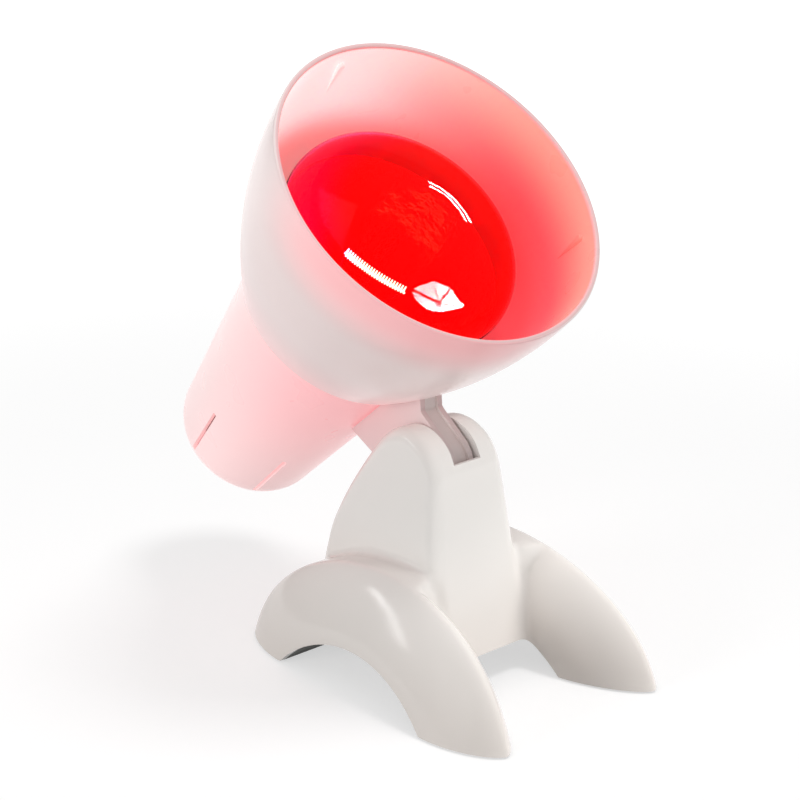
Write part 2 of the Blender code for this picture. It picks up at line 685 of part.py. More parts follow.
def fin_outline():
    """One fin plate in the head's YZ plane: down the front edge, round the lug, and up the rear edge."""
    toe = LUG_RADIUS + FIN_FLARE
    outline = [
        (AXIS_ABOVE_PIVOT - shade_radius(toe) + SHADE_WALL / 2, toe),
        (AXIS_ABOVE_PIVOT - shade_radius(toe), toe),
        ((FIN_NECK_HEIGHT + AXIS_ABOVE_PIVOT - shade_radius(toe)) / 2, LUG_RADIUS - FIN_NECK_SET_BACK / 2),
        (FIN_NECK_HEIGHT, LUG_RADIUS - FIN_NECK_SET_BACK),
        (FIN_NECK_HEIGHT / 2, LUG_RADIUS - FIN_NECK_SET_BACK / 2),
    ]
    knee = Vector((FIN_KNEE_HEIGHT, -FIN_KNEE_BEHIND_PIVOT))
    tangent_turn = math.atan2(knee.y, knee.x) - math.acos(LUG_RADIUS / knee.length)
    end = -3 * math.pi / 2 - tangent_turn
    for i in range(17):
        turn = end * i / 16
        outline.append((LUG_RADIUS * math.sin(turn), LUG_RADIUS * math.cos(turn)))
    outline.append(tuple(knee))
    root = SEAM_Z - FIN_ROOT_BEHIND_SEAM
    outline.append((AXIS_ABOVE_PIVOT - housing_radius(root) + OVERRUN, root))
    outline.append((AXIS_ABOVE_PIVOT - HOUSING_FRONT_RADIUS + OVERRUN, SEAM_Z - GAP))
    outline.append((AXIS_ABOVE_PIVOT - SHADE_REAR_RADIUS + SHADE_WALL / 2, SEAM_Z + GAP))
    middle = toe / 2
    outline.append((AXIS_ABOVE_PIVOT - shade_radius(middle) + SHADE_WALL / 2, middle))
    return outline


def web_edge(depth):
    """The front edge of the fin's plates, moved back by a depth, from the shade down round the lug."""
    toe = LUG_RADIUS + FIN_FLARE
    shade_foot = AXIS_ABOVE_PIVOT - shade_radius(toe)
    edge = [
        (shade_foot + SHADE_WALL / 2, toe - depth),
        ((FIN_NECK_HEIGHT + shade_foot) / 2, LUG_RADIUS - FIN_NECK_SET_BACK / 2 - depth),
        (FIN_NECK_HEIGHT, LUG_RADIUS - FIN_NECK_SET_BACK - depth),
        (FIN_NECK_HEIGHT / 2, LUG_RADIUS - FIN_NECK_SET_BACK / 2 - depth),
    ]
    for i in range(5):
        turn = WEB_WRAP * i / 4
        edge.append((-(LUG_RADIUS - depth) * math.sin(turn), (LUG_RADIUS - depth) * math.cos(turn)))
    return edge


def housing_radius(height):
    """Outer radius of the housing's cone at a height along the lamp axis."""
    share = (HOUSING_FRONT_Z - height) / (HOUSING_LENGTH - HOUSING_REAR_ROUNDING)
    return HOUSING_FRONT_RADIUS + (HOUSING_REAR_RADIUS - HOUSING_FRONT_RADIUS) * share


def polar(radius, degrees, height):
    """A point about the lamp axis, its angle counted from the top of the head."""
    turn = math.radians(degrees)
    return (radius * math.sin(turn), radius * math.cos(turn), height)


def axis_rod(name, radius, place, low, high, steps=SMALL_STEPS):
    """A cutter or guide parallel to the lamp axis."""
    mesh = rod_mesh(name, radius, (place[0], place[1], low), (place[0], place[1], high), steps)
    return add_object(name, mesh, None, LAMP_AXIS)


def shade_screw_places():
    step = 360 / SHADE_SCREW_COUNT
    return [polar(SHADE_BOSS_FROM_AXIS, step * (n + 0.5), 0.0) for n in range(SHADE_SCREW_COUNT)]


def add_shade():
    outer = shade_outer_profile(9)
    inner = [point for point in offset_curve(outer, SHADE_WALL) if point.y > SEAM_Z + SHADE_FLANGE_THICKNESS]
    outer[0] = Vector((outer[0].x - RIM_EASE, outer[0].y))
    outer.insert(1, Vector((shade_radius(RIM_Z - RIM_EASE), RIM_Z - RIM_EASE)))
    corner = inner[-1].x + (SEAM_Z + SHADE_FLANGE_THICKNESS - inner[-1].y) * (
        (inner[-2].x - inner[-1].x) / (inner[-2].y - inner[-1].y))
    profile = [*outer, Vector((SHADE_FLANGE_RADIUS, SEAM_Z)),
               Vector((SHADE_FLANGE_RADIUS, SEAM_Z + SHADE_FLANGE_THICKNESS)),
               Vector((corner, SEAM_Z + SHADE_FLANGE_THICKNESS)), *reversed(inner)]
    profile[-1] = Vector((profile[-1].x, RIM_Z))
    shade = turned("shade", profile, SHADE_PLASTIC, LAMP_AXIS, steps=48)

    fin = add_object("fin_plate_left", prism_mesh(
        "fin_plate_left", fin_outline(), -FIN_HALF_WIDTH, FIN_PLATE - FIN_HALF_WIDTH), None, HEAD)
    other = add_object("fin_plate_right", prism_mesh(
        "fin_plate_right", fin_outline(), FIN_HALF_WIDTH - FIN_PLATE, FIN_HALF_WIDTH), None, HEAD)
    hub_end = FIN_HALF_WIDTH - FIN_PLATE / 2
    web_outline = [*web_edge(WEB_RECESS), *reversed(web_edge(WEB_RECESS + WEB_THICKNESS))]
    web = add_object("fin_web", prism_mesh("fin_web", web_outline, -hub_end, hub_end), None, HEAD)
    hub = add_object("fin_hub", rod_mesh(
        "fin_hub", HUB_RADIUS, (-hub_end, 0.0, 0.0), (hub_end, 0.0, 0.0), steps=24), None, HEAD)
    boolean(fin, "UNION", other, web, hub)
    clearance = turned("housing_clearance", [
        (0.0, SEAM_Z), (housing_radius(SEAM_Z) + GAP, SEAM_Z),
        (housing_radius(HOUSING_REAR_Z) + GAP, HOUSING_REAR_Z), (0.0, HOUSING_REAR_Z),
    ], None, LAMP_AXIS, steps=48, closed=False)
    bore = add_object("fin_bore", rod_mesh(
        "fin_bore", BOLT_RADIUS + BORE_CLEARANCE, (-FIN_HALF_WIDTH - OVERRUN, 0.0, 0.0),
        (FIN_HALF_WIDTH + OVERRUN, 0.0, 0.0), steps=24), None, HEAD)
    boolean(fin, "DIFFERENCE", clearance, bore)
    boolean(shade, "UNION", fin)

    for n in range(LEAF_COUNT):
        boolean(shade, "UNION", leaf_lug(n))
    for n, (x, y, _) in enumerate(shade_screw_places()):
        hole = axis_rod(
            f"shade_screw_hole_{n}", SCREW_RADIUS + BORE_CLEARANCE, (x, y),
            SEAM_Z - GAP, SEAM_Z + SHADE_FLANGE_THICKNESS + GAP,
        )
        boolean(shade, "DIFFERENCE", hole)


def leaf_lug(n):
    """A leaf-shaped lug inside the shade: round and tallest near the rim, pointed towards the bulb."""
    high = RIM_Z - LEAF_FROM_RIM
    radius = LEAF_WIDTH / 2
    outline = []
    for k in range(7):
        turn = math.pi * k / 6
        outline.append((radius * math.cos(turn), high - radius + radius * math.sin(turn)))
    outline.append((0.0, high - LEAF_LENGTH))
    shape = bmesh.new()
    foot = []
    crest = []
    for x, z in outline:
        wall = shade_radius(z) - SHADE_WALL
        share = (z - high + LEAF_LENGTH) / LEAF_LENGTH
        foot.append(shape.verts.new((x, wall + SHADE_WALL / 2, z)))
        crest.append(shape.verts.new((x, wall - LEAF_HEIGHT * share, z)))
    loft(shape, [foot, crest])
    turn = LEAF_TURN + 2 * math.pi * n / LEAF_COUNT
    bmesh.ops.rotate(shape, verts=shape.verts, matrix=Matrix.Rotation(-turn, 3, "Z"))
    name = f"leaf_lug_{n}"
    return add_object(name, finish_mesh(name, shape), None, LAMP_AXIS)


def rounded_end(radius, height, rounding, steps):
    """The end of a cone's outline, rounded into a flat rear face, from the outside to the axis."""
    points = []
    for k in range(1, steps + 1):
        turn = math.pi / 2 * k / steps
        outwards = rounding * math.cos(turn)
        points.append((radius - rounding + outwards, height + rounding * (1 - math.sin(turn))))
    return [*points, (0.0, height)]


def add_housing():
    cone_end = HOUSING_REAR_Z + HOUSING_REAR_ROUNDING
    housing = turned("rear_housing", [
        (0.0, HOUSING_FRONT_Z), (HOUSING_FRONT_RADIUS, HOUSING_FRONT_Z), (HOUSING_REAR_RADIUS, cone_end),
        *rounded_end(HOUSING_REAR_RADIUS, HOUSING_REAR_Z, HOUSING_REAR_ROUNDING, 5),
    ], HOUSING_PLASTIC, LAMP_AXIS, closed=False)
    front = HOUSING_FRONT_Z + OVERRUN
    inner_rear = HOUSING_REAR_RADIUS - HOUSING_WALL
    cavity = turned("housing_cavity", [
        (0.0, front), (housing_radius(front) - HOUSING_WALL, front), (inner_rear, cone_end),
        *rounded_end(inner_rear, HOUSING_REAR_Z + HOUSING_WALL, HOUSING_REAR_ROUNDING - HOUSING_WALL, 4),
    ], None, LAMP_AXIS, steps=TURN_STEPS, closed=False)
    for n, (x, y, _) in enumerate(shade_screw_places()):
        low = HOUSING_FRONT_Z - SHADE_BOSS_LENGTH
        boss = axis_rod(f"shade_boss_{n}", SHADE_BOSS_RADIUS, (x, y), low, front)
        boolean(cavity, "DIFFERENCE", boss)
    for n, x in enumerate((-STRAP_SCREW_OFFSET, STRAP_SCREW_OFFSET)):
        boss = axis_rod(f"strap_boss_{n}", STRAP_BOSS_RADIUS, (x, 0.0), HOUSING_REAR_Z, STRAP_Z - GAP)
        boolean(cavity, "DIFFERENCE", boss)
    size_x, size_y, _ = TERMINAL_BLOCK_SIZE
    pad = add_object("terminal_pad", box_mesh(
        "terminal_pad", (-size_x / 2, TERMINAL_BLOCK_OFFSET - size_y / 2, HOUSING_REAR_Z),
        (size_x / 2, TERMINAL_BLOCK_OFFSET + size_y / 2, TERMINAL_PAD_Z)), None, LAMP_AXIS)
    boolean(cavity, "DIFFERENCE", pad)
    boolean(housing, "DIFFERENCE", cavity)

    for n in range(VENT_COUNT):
        high = HOUSING_FRONT_Z - VENT_FROM_SEAM
        slot = box_mesh(f"vent_cutter_{n}", (-VENT_WIDTH / 2, inner_rear - HOUSING_WALL, high - VENT_LENGTH),
                        (VENT_WIDTH / 2, HOUSING_FRONT_RADIUS, high))
        slot.transform(Matrix.Rotation(-VENT_TURN - 2 * math.pi * (n + 0.5) / VENT_COUNT, 4, "Z"))
        boolean(housing, "DIFFERENCE", add_object(f"vent_cutter_{n}", slot, None, LAMP_AXIS))
    for n, (x, y, _) in enumerate(shade_screw_places()):
        boolean(housing, "DIFFERENCE", axis_rod(
            f"shade_pilot_{n}", SCREW_RADIUS + BORE_CLEARANCE, (x, y),
            SEAM_Z + SHADE_FLANGE_THICKNESS - SHADE_SCREW_LENGTH - GAP, front))
    for n, x in enumerate((-STRAP_SCREW_OFFSET, STRAP_SCREW_OFFSET)):
        boolean(housing, "DIFFERENCE", axis_rod(
            f"strap_pilot_{n}", SCREW_RADIUS + BORE_CLEARANCE, (x, 0.0),
            STRAP_Z + STRAP_THICKNESS - STRAP_SCREW_LENGTH - GAP, STRAP_Z))
    boolean(housing, "DIFFERENCE", axis_rod(
        "terminal_pilot", SCREW_RADIUS + BORE_CLEARANCE, (0.0, TERMINAL_BLOCK_OFFSET),
        TERMINAL_PAD_Z - TERMINAL_SCREW_GRIP - GAP, TERMINAL_PAD_Z + GAP))
    boolean(housing, "DIFFERENCE", axis_rod(
        "gland_hole", GLAND_NECK_RADIUS + GAP, (0.0, 0.0),
        HOUSING_REAR_Z - GAP, HOUSING_REAR_Z + OVERRUN, 24))


def add_head_screws():
    under = SEAM_Z + SHADE_FLANGE_THICKNESS + GAP
    for n, (x, y, _) in enumerate(shade_screw_places(), 1):
        add_screw(f"shade_screw_{n}", (x, y, under), LAMP_AXIS, SHADE_SCREW_LENGTH)
    under = STRAP_Z + STRAP_THICKNESS + GAP
    for word, x in (("left", -STRAP_SCREW_OFFSET), ("right", STRAP_SCREW_OFFSET)):
        add_screw(f"strap_screw_{word}", (x, 0.0, under), LAMP_AXIS, STRAP_SCREW_LENGTH)
    for word, x in (("left", -BODY_SCREW_OFFSET), ("right", BODY_SCREW_OFFSET)):
        add_screw(f"lampholder_screw_{word}", (x, 0.0, STRAP_Z - GAP), LAMP_AXIS, BODY_SCREW_LENGTH, True)


def add_lampholder():
    half_x, half_y = STRAP_LENGTH / 2, STRAP_WIDTH / 2
    strap = add_object("lampholder_strap", box_mesh(
        "lampholder_strap", (-half_x, -half_y, STRAP_Z), (half_x, half_y, STRAP_Z + STRAP_THICKNESS)),
        STEEL, LAMP_AXIS)
    for n, x in enumerate((-STRAP_SCREW_OFFSET, -BODY_SCREW_OFFSET, BODY_SCREW_OFFSET, STRAP_SCREW_OFFSET)):
        boolean(strap, "DIFFERENCE", axis_rod(
            f"strap_hole_{n}", SCREW_RADIUS + BORE_CLEARANCE, (x, 0.0),
            STRAP_Z - GAP, STRAP_Z + STRAP_THICKNESS + GAP))

    floor = HOLDER_Z + HOLDER_FLOOR
    top = HOLDER_Z + HOLDER_LENGTH
    step = HOLDER_Z + HOLDER_BASE_LENGTH
    ease = HOLDER_FLOOR / 3
    body = turned("lampholder_body", [
        (0.0, floor), (HOLDER_BORE, floor), (HOLDER_BORE, top), (HOLDER_RADIUS - ease, top),
        (HOLDER_RADIUS, top - ease), (HOLDER_RADIUS, step + ease), (HOLDER_BASE_RADIUS, step),
        (HOLDER_BASE_RADIUS, HOLDER_Z), (0.0, HOLDER_Z),
    ], PORCELAIN, LAMP_AXIS, steps=32, closed=False)
    for n, x in enumerate((-BODY_SCREW_OFFSET, BODY_SCREW_OFFSET)):
        boolean(body, "DIFFERENCE", axis_rod(
            f"body_pilot_{n}", SCREW_RADIUS + BORE_CLEARANCE, (x, 0.0),
            HOLDER_Z - GAP, STRAP_Z - GAP + BODY_SCREW_LENGTH + GAP))
    for n, x in enumerate((-LEAD_SPACING / 2, LEAD_SPACING / 2)):
        boolean(body, "DIFFERENCE", axis_rod(
            f"lead_hole_{n}", LEAD_RADIUS + GAP, (x, LEAD_HOLE_RISE), HOLDER_Z - GAP, floor + GAP))

    low = floor + GAP
    waves = 2 * SLEEVE_TURNS
    outside = []
    for i in range(waves + 1):
        height = low + SLEEVE_LENGTH * (1 - i / waves)
        swell = SLEEVE_WAVE / 2 * (1 - math.cos(2 * math.pi * SLEEVE_TURNS * i / waves))
        outside.append((SLEEVE_CREST_RADIUS + SLEEVE_WALL + swell, height))
    inside = [(radius - SLEEVE_WALL, height) for radius, height in reversed(outside)]
    turned("lampholder_sleeve", [*outside, *inside], BRASS, LAMP_AXIS, steps=SMALL_STEPS)

    button_low = CAP_END_Z - GAP
    turned("lampholder_contact", [
        (0.0, button_low), (CONTACT_SPRING_RADIUS / 2, button_low),
        (CONTACT_SPRING_RADIUS / 2, low + CONTACT_SPRING_THICKNESS),
        (CONTACT_SPRING_RADIUS, low + CONTACT_SPRING_THICKNESS), (CONTACT_SPRING_RADIUS, low), (0.0, low),
    ], BRASS, LAMP_AXIS, steps=SMALL_STEPS, closed=False)


def tube_mesh(name, path, radius, across, steps=8):
    """A round wire along a path that lies in the plane square to `across`."""
    shape = bmesh.new()
    rings = []
    for i, point in enumerate(path):
        along = (path[min(i + 1, len(path) - 1)] - path[max(i - 1, 0)]).normalized()
        side = across.cross(along).normalized()
        ring = []
        for k in range(steps):
            turn = 2 * math.pi * k / steps
            ring.append(shape.verts.new(point + radius * (math.cos(turn) * across + math.sin(turn) * side)))
        rings.append(ring)
    loft(shape, rings)
    return finish_mesh(name, shape)


def add_wiring():
    size_x, size_y, height = TERMINAL_BLOCK_SIZE
    low = TERMINAL_PAD_Z + GAP
    high = low + height
    block = add_object("terminal_block", box_mesh(
        "terminal_block", (-size_x / 2, TERMINAL_BLOCK_OFFSET - size_y / 2, low),
        (size_x / 2, TERMINAL_BLOCK_OFFSET + size_y / 2, high)), NYLON, LAMP_AXIS)
    ease = block.modifiers.new("ease", "BEVEL")
    ease.width = RIM_EASE
    ease.segments = 2
    boolean(block, "DIFFERENCE", axis_rod(
        "terminal_screw_hole", SCREW_RADIUS + BORE_CLEARANCE, (0.0, TERMINAL_BLOCK_OFFSET),
        low - GAP, high + GAP))
    add_screw("terminal_screw", (0.0, TERMINAL_BLOCK_OFFSET, high + GAP), LAMP_AXIS,
              high + GAP - TERMINAL_PAD_Z + TERMINAL_SCREW_GRIP)
    across = Vector((1.0, 0.0, 0.0))
    path = smooth_curve([Vector((0.0, y, z)) for y, z in (
        (TERMINAL_BLOCK_OFFSET, high - height / 4), (TERMINAL_BLOCK_OFFSET, high + GAP),
        (LEAD_HOLE_RISE, HOLDER_Z - GAP), (LEAD_HOLE_RISE, HOLDER_Z + HOLDER_FLOOR),
    )], 4)
    for word, x in (("live", -LEAD_SPACING / 2), ("neutral", LEAD_SPACING / 2)):
        boolean(block, "DIFFERENCE", axis_rod(
            f"{word}_bore", TERMINAL_BORE, (x, TERMINAL_BLOCK_OFFSET), high - height / 2, high + GAP))
        name = f"lead_{word}"
        add_object(name, tube_mesh(name, path, LEAD_RADIUS, across), SILICONE, LAMP_AXIS, (x, 0.0, 0.0))


def add_gland():
    low = HOUSING_REAR_Z - GAP
    inner = HOUSING_REAR_Z + HOUSING_WALL + GAP
    turned("cord_gland", [
        (GLAND_NECK_RADIUS, low + GLAND_NECK_LENGTH), (GLAND_NECK_RADIUS, low), (GLAND_FLANGE_RADIUS, low),
        (GLAND_FLANGE_RADIUS, low - GLAND_FLANGE_THICKNESS / 2),
        (GLAND_FLANGE_RADIUS - GLAND_FLANGE_THICKNESS / 2, low - GLAND_FLANGE_THICKNESS),
        (GLAND_BORE, low - GLAND_FLANGE_THICKNESS), (GLAND_BORE, low + GLAND_NECK_LENGTH),
    ], NYLON, LAMP_AXIS, steps=24)
    turned("gland_nut", [
        (GLAND_NUT_RADIUS, inner + GLAND_NUT_THICKNESS), (GLAND_NUT_RADIUS, inner),
        (GLAND_NUT_BORE, inner), (GLAND_NUT_BORE, inner + GLAND_NUT_THICKNESS),
    ], NYLON, LAMP_AXIS, steps=6)


def add_bulb():
    """The screw-in reflector bulb, turned about the lamp axis, its glass open at the neck."""
    shoulder_z = BULB_FACE_Z - BULB_FACE_RISE - BULB_SHOULDER_RADIUS
    flat = BULB_RADIUS - BULB_SHOULDER_RADIUS
    outside = [Vector((0.0, BULB_FACE_Z)), Vector((flat / 2, BULB_FACE_Z - BULB_FACE_RISE / 4))]
    for k in range(1, 6):
        turn = math.pi / 2 * k / 5
        outside.append(Vector((flat + BULB_SHOULDER_RADIUS * math.sin(turn),
                               shoulder_z + BULB_SHOULDER_RADIUS * math.cos(turn))))
    bowl_end = shoulder_z - BULB_BOWL_LENGTH
    for share, radius in bulb_bowl_shares:
        outside.append(Vector((radius * BULB_RADIUS, shoulder_z - BULB_BOWL_LENGTH * share)))
    for share, radius in bulb_neck_shares:
        outside.append(Vector((radius * BULB_RADIUS, bowl_end + (CAP_TOP_Z - bowl_end) * share)))
    neck = CAP_RADIUS - CAP_WALL - CAP_THREAD_DEPTH - GAP
    outside.append(Vector((neck, CAP_TOP_Z + GAP)))
    outside.append(Vector((neck, CAP_TOP_Z - NECK_IN_CAP)))
    inside = offset_curve(outside, BULB_GLASS)
    inside[0] = Vector((0.0, BULB_FACE_Z - BULB_GLASS))
    inside[-1] = Vector((neck - BULB_GLASS, CAP_TOP_Z - NECK_IN_CAP))
    turned("bulb_glass", [*outside, *reversed(inside)], RED_GLASS, BULB_AXIS, steps=32, closed=False)

    cone_top = CAP_END_Z + CAP_END_CONE + BUTTON_THICKNESS
    waves = 2 * CAP_THREAD_TURNS
    outside = [(CAP_RADIUS, CAP_TOP_Z)]
    for i in range(waves + 1):
        height = CAP_TOP_Z - CAP_THREAD_START - CAP_THREAD_PITCH * i / 2
        outside.append((CAP_RADIUS - CAP_THREAD_DEPTH / 2 * (1 - math.cos(math.pi * i)), height))
    outside += [(CAP_RADIUS, cone_top), (CAP_END_RADIUS, CAP_END_Z + BUTTON_THICKNESS)]
    inside = [(radius - CAP_WALL, height) for radius, height in reversed(outside)]
    turned("bulb_cap", [*outside, *inside], BRASS, BULB_AXIS, steps=20)

    plug = CAP_END_RADIUS - CAP_WALL - GAP
    insulator_low = CAP_END_Z + BUTTON_THICKNESS / 2 + GAP
    turned("cap_insulator", [
        (0.0, cone_top), (plug, cone_top), (plug, insulator_low), (0.0, insulator_low),
    ], BLACK_GLASS, BULB_AXIS, steps=24, closed=False)
    turned("cap_contact", [
        (0.0, CAP_END_Z + BUTTON_THICKNESS / 2), (BUTTON_RADIUS, CAP_END_Z + BUTTON_THICKNESS / 2),
        (BUTTON_RADIUS / 2, CAP_END_Z), (0.0, CAP_END_Z),
    ], BRASS, BULB_AXIS, steps=SMALL_STEPS, closed=False)

    low = CAP_TOP_Z - NECK_IN_CAP
    flare = neck - BULB_GLASS - GAP
    turned("glass_stem", [
        (0.0, low + STEM_LENGTH), (STEM_TOP_RADIUS, low + STEM_LENGTH),
        (STEM_TOP_RADIUS, low + STEM_LENGTH / 2), (STEM_RADIUS, low + STEM_LENGTH / 4),
        (flare, low + BULB_GLASS), (flare, low), (0.0, low),
    ], CLEAR_GLASS, BULB_AXIS, steps=SMALL_STEPS, closed=False)
    height = BULB_FACE_Z - FILAMENT_FROM_FACE
    along = Vector((math.cos(FILAMENT_TURN), math.sin(FILAMENT_TURN), 0.0))
    up = Vector((0.0, 0.0, 1.0))

    def coil_point(share):
        return along * share * FILAMENT_SPAN / 2 + up * (height - FILAMENT_SAG * (1 - share ** 2))

    coil = [coil_point(2 * i / 14 - 1) for i in range(15)]
    mesh = tube_mesh("filament", coil, FILAMENT_RADIUS, along.cross(up), 8)
    add_object("filament", mesh, TUNGSTEN, BULB_AXIS)
    wire_share = 1 - 2 * SUPPORT_WIRE_RADIUS / FILAMENT_SPAN
    for name, share, offset in (
        ("filament_wire_left", -wire_share, -SUPPORT_WIRE_OFFSET),
        ("filament_wire_right", wire_share, SUPPORT_WIRE_OFFSET),
        ("filament_support", 0.0, 0.0),
    ):
        start = along * offset + up * (low + STEM_LENGTH + GAP)
        end = coil_point(share) - up * (FILAMENT_RADIUS + GAP)
        add_object(name, rod_mesh(name, SUPPORT_WIRE_RADIUS, start, end, 8), STEEL, BULB_AXIS)


def move_origin_to_base():
    """Shift everything so that the origin is the middle of the underside of the bounding box."""
    bpy.context.view_layer.update()
    graph = bpy.context.evaluated_depsgraph_get()
    low = Vector((math.inf,) * 3)
    high = Vector((-math.inf,) * 3)
    for item in PARTS.objects:
        if item.type != "MESH":
            continue
        solid = item.evaluated_get(graph)
        for vertex in solid.data.vertices:
            point = solid.matrix_world @ vertex.co
            low = Vector(map(min, low, point))
            high = Vector(map(max, high, point))
    shift = Vector(((low.x + high.x) / 2, (low.y + high.y) / 2, low.z))
    for item in [*PARTS.objects, *CUTTERS.objects]:
        if item.parent is None:
            item.location -= shift
    bpy.context.view_layer.update()


add_stand()
add_bottom_cover()
add_foot_pads()
add_tilt_bolt()
add_shade()
add_housing()
add_head_screws()
add_lampholder()
add_wiring()
add_gland()
add_bulb()
move_origin_to_base()
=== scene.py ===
"""Looks of the infrared heat lamp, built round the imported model, in metres, +Z up, the lamp facing -Y."""

import json
import math

import bmesh
import bpy
from mathutils import Matrix, Vector
from mathutils.bvhtree import BVHTree


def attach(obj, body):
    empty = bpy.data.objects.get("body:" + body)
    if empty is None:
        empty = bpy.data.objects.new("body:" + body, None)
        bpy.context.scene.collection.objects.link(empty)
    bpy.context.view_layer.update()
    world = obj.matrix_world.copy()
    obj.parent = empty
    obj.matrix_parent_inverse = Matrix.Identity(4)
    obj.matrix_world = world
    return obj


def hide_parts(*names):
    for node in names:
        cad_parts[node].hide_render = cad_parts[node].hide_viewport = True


# Camera, at the photograph's viewing angle
CAMERA_TARGET = (-0.005015, -0.014701, 0.1003)
CAMERA_AZIMUTH = math.radians(-41.05)
CAMERA_ELEVATION = math.radians(19.06)
CAMERA_DISTANCE = 0.76
CAMERA_LENS = 90.93
CAMERA_SENSOR = 36.0

# Frames of the stand and of the head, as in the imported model
STAND_CENTRE_Y = -0.038268
PIVOT = (0.0, -0.031068, 0.0786)
HEAD_TURN = math.radians(43.9)
AXIS_ABOVE_PIVOT = 0.0723
GAP = 0.0003
OVERRUN = 0.004

# Stand
RIDGE_X = 0.0324
LEG_HALF_WIDTH = 0.0166
LEG_REACH = 0.0723
LEG_RISE = 0.0529
LEG_CENTRE_Z = -0.0074
TUNNEL_RADIUS = 0.0546
TUNNEL_CENTRE_Z = -0.0365
LEG_SINK = math.radians(10)
LEG_SKIRT_SHARE = 0.15
SPLAY_AT_TIP = 0.0056
STAND_WALL = 0.0025
FOOT_LIFT = 0.0008
FREE_SECTION_POWER = 1.36
SADDLE_SECTION_POWER = 5.0
SADDLE_FRONT = 0.0089
SADDLE_REAR = 0.0441
SADDLE_FADE = 0.009
TOWER_FRONT = 0.0269
TOWER_DEPTH = 0.081
TOWER_HEIGHT = 0.0948
TOWER_TOP_HALF_WIDTH = 0.0164
TOWER_DRAFT = 0.108
TOWER_EDGE_RADIUS = 0.005
SLOT_HALF_WIDTH = 0.0066
SLOT_FRONT_Z = 0.0834
SLOT_FLOOR_Z = 0.062
CHEEK_THICKNESS = 0.0022
REAR_ARCH_HEIGHT = 0.0075
REAR_ARCH_HALF_WIDTH = 0.0165
REAR_ARCH_START = 0.031
POCKET_CLEARANCE = 0.0008
BOLT_HOLE_RADIUS = 0.0026
COVER_TOP_Z = 0.023
COVER_SCREW_X = 0.0255
COVER_SCREW_FRONT = 0.0115
COVER_SCREW_REAR = 0.0275
COVER_SCREW_LENGTH = 0.0117
COVER_BOSS_RADIUS = 0.0036
COVER_PILOT_RADIUS = 0.0014
EVEN_FACTOR = 0.5
EVEN_PASSES = 3
FILLET_REACH = 0.0035
FILLET_FACTOR = 0.6
FILLET_PASSES = 40
LEAST_FILLET_PASSES = 4
VOXEL = 0.0009
QUICK_VOXEL = 0.0016
TOWER_STEPS = (8, 10)
LEG_STEPS = (110, 44)
CAVITY_TOWER_STEPS = (3, 4)
CAVITY_LEG_STEPS = (40, 16)
TUNNEL_STEPS = 160
BOSS_STEPS = 24
PILOT_STEPS = 16
STAND_CREASE = 38
CHEEK_OUT = SLOT_HALF_WIDTH + CHEEK_THICKNESS
FAR = LEG_REACH + TOWER_DEPTH

# Fin of the shade, in the head's frame
FIN_HALF_WIDTH = 0.0054
FIN_PLATE = 0.0023
LUG_RADIUS = 0.0138
FIN_FLARE = 0.0015
FIN_NECK_HEIGHT = 0.0163
FIN_NECK_SET_BACK = 0.002
FIN_ROOT_BEHIND_SEAM = 0.0282
FIN_KNEE_HEIGHT = 0.0211
FIN_KNEE_BEHIND_PIVOT = 0.025
WEB_RECESS = 0.0013
WEB_THICKNESS = 0.002
WEB_WRAP = math.radians(42)
HUB_RADIUS = 0.0055
FIN_EDGE = 0.0004
FIN_EDGE_SEGMENTS = 3
FIN_EDGE_ANGLE = math.radians(40)
FIN_FRONT_STEPS = 6
FIN_ARC_STEPS = 48
FIN_TOP_STEPS = 5
WEB_ARC_STEPS = 8
HUB_STEPS = 48

# Shade and rear housing, turned about the lamp axis
SEAM_Z = -0.0009
SHADE_LENGTH = 0.0778
RIM_Z = SEAM_Z + SHADE_LENGTH
SHADE_REAR_RADIUS = 0.0444
SHADE_MIDDLE_RADIUS = 0.0602
RIM_RADIUS = 0.0661
SHADE_WALL = 0.002
RIM_ROUNDING = 0.0008
SHADE_FLANGE_RADIUS = 0.0347
SHADE_FLANGE_THICKNESS = 0.0025
SHADE_HEIGHT_STEPS = 48
SHADE_TURN_STEPS = 192
RIM_STEPS = 5
HOUSING_FRONT_Z = SEAM_Z - GAP
HOUSING_LENGTH = 0.1036
HOUSING_REAR_Z = HOUSING_FRONT_Z - HOUSING_LENGTH
HOUSING_FRONT_RADIUS = 0.0414
HOUSING_REAR_RADIUS = 0.031
HOUSING_REAR_ROUNDING = 0.015
HOUSING_WALL = 0.002
HOUSING_TURN_STEPS = 160
HOUSING_OUTER_STEPS = 16
HOUSING_INNER_STEPS = 12
GLAND_HOLE_RADIUS = 0.0055
VENT_COUNT = 6
VENT_LENGTH = 0.0295
VENT_WIDTH = 0.0018
VENT_FROM_SEAM = 0.064
VENT_TURN = math.radians(-4)
LEAF_COUNT = 3
LEAF_LENGTH = 0.0165
LEAF_WIDTH = 0.0028
LEAF_HEIGHT = 0.0016
LEAF_FROM_RIM = 0.0075
LEAF_TURN = math.radians(-4)
LEAF_TAPER = 0.8
LEAF_ARC_STEPS = 12
LEAF_SIDE_STEPS = 8

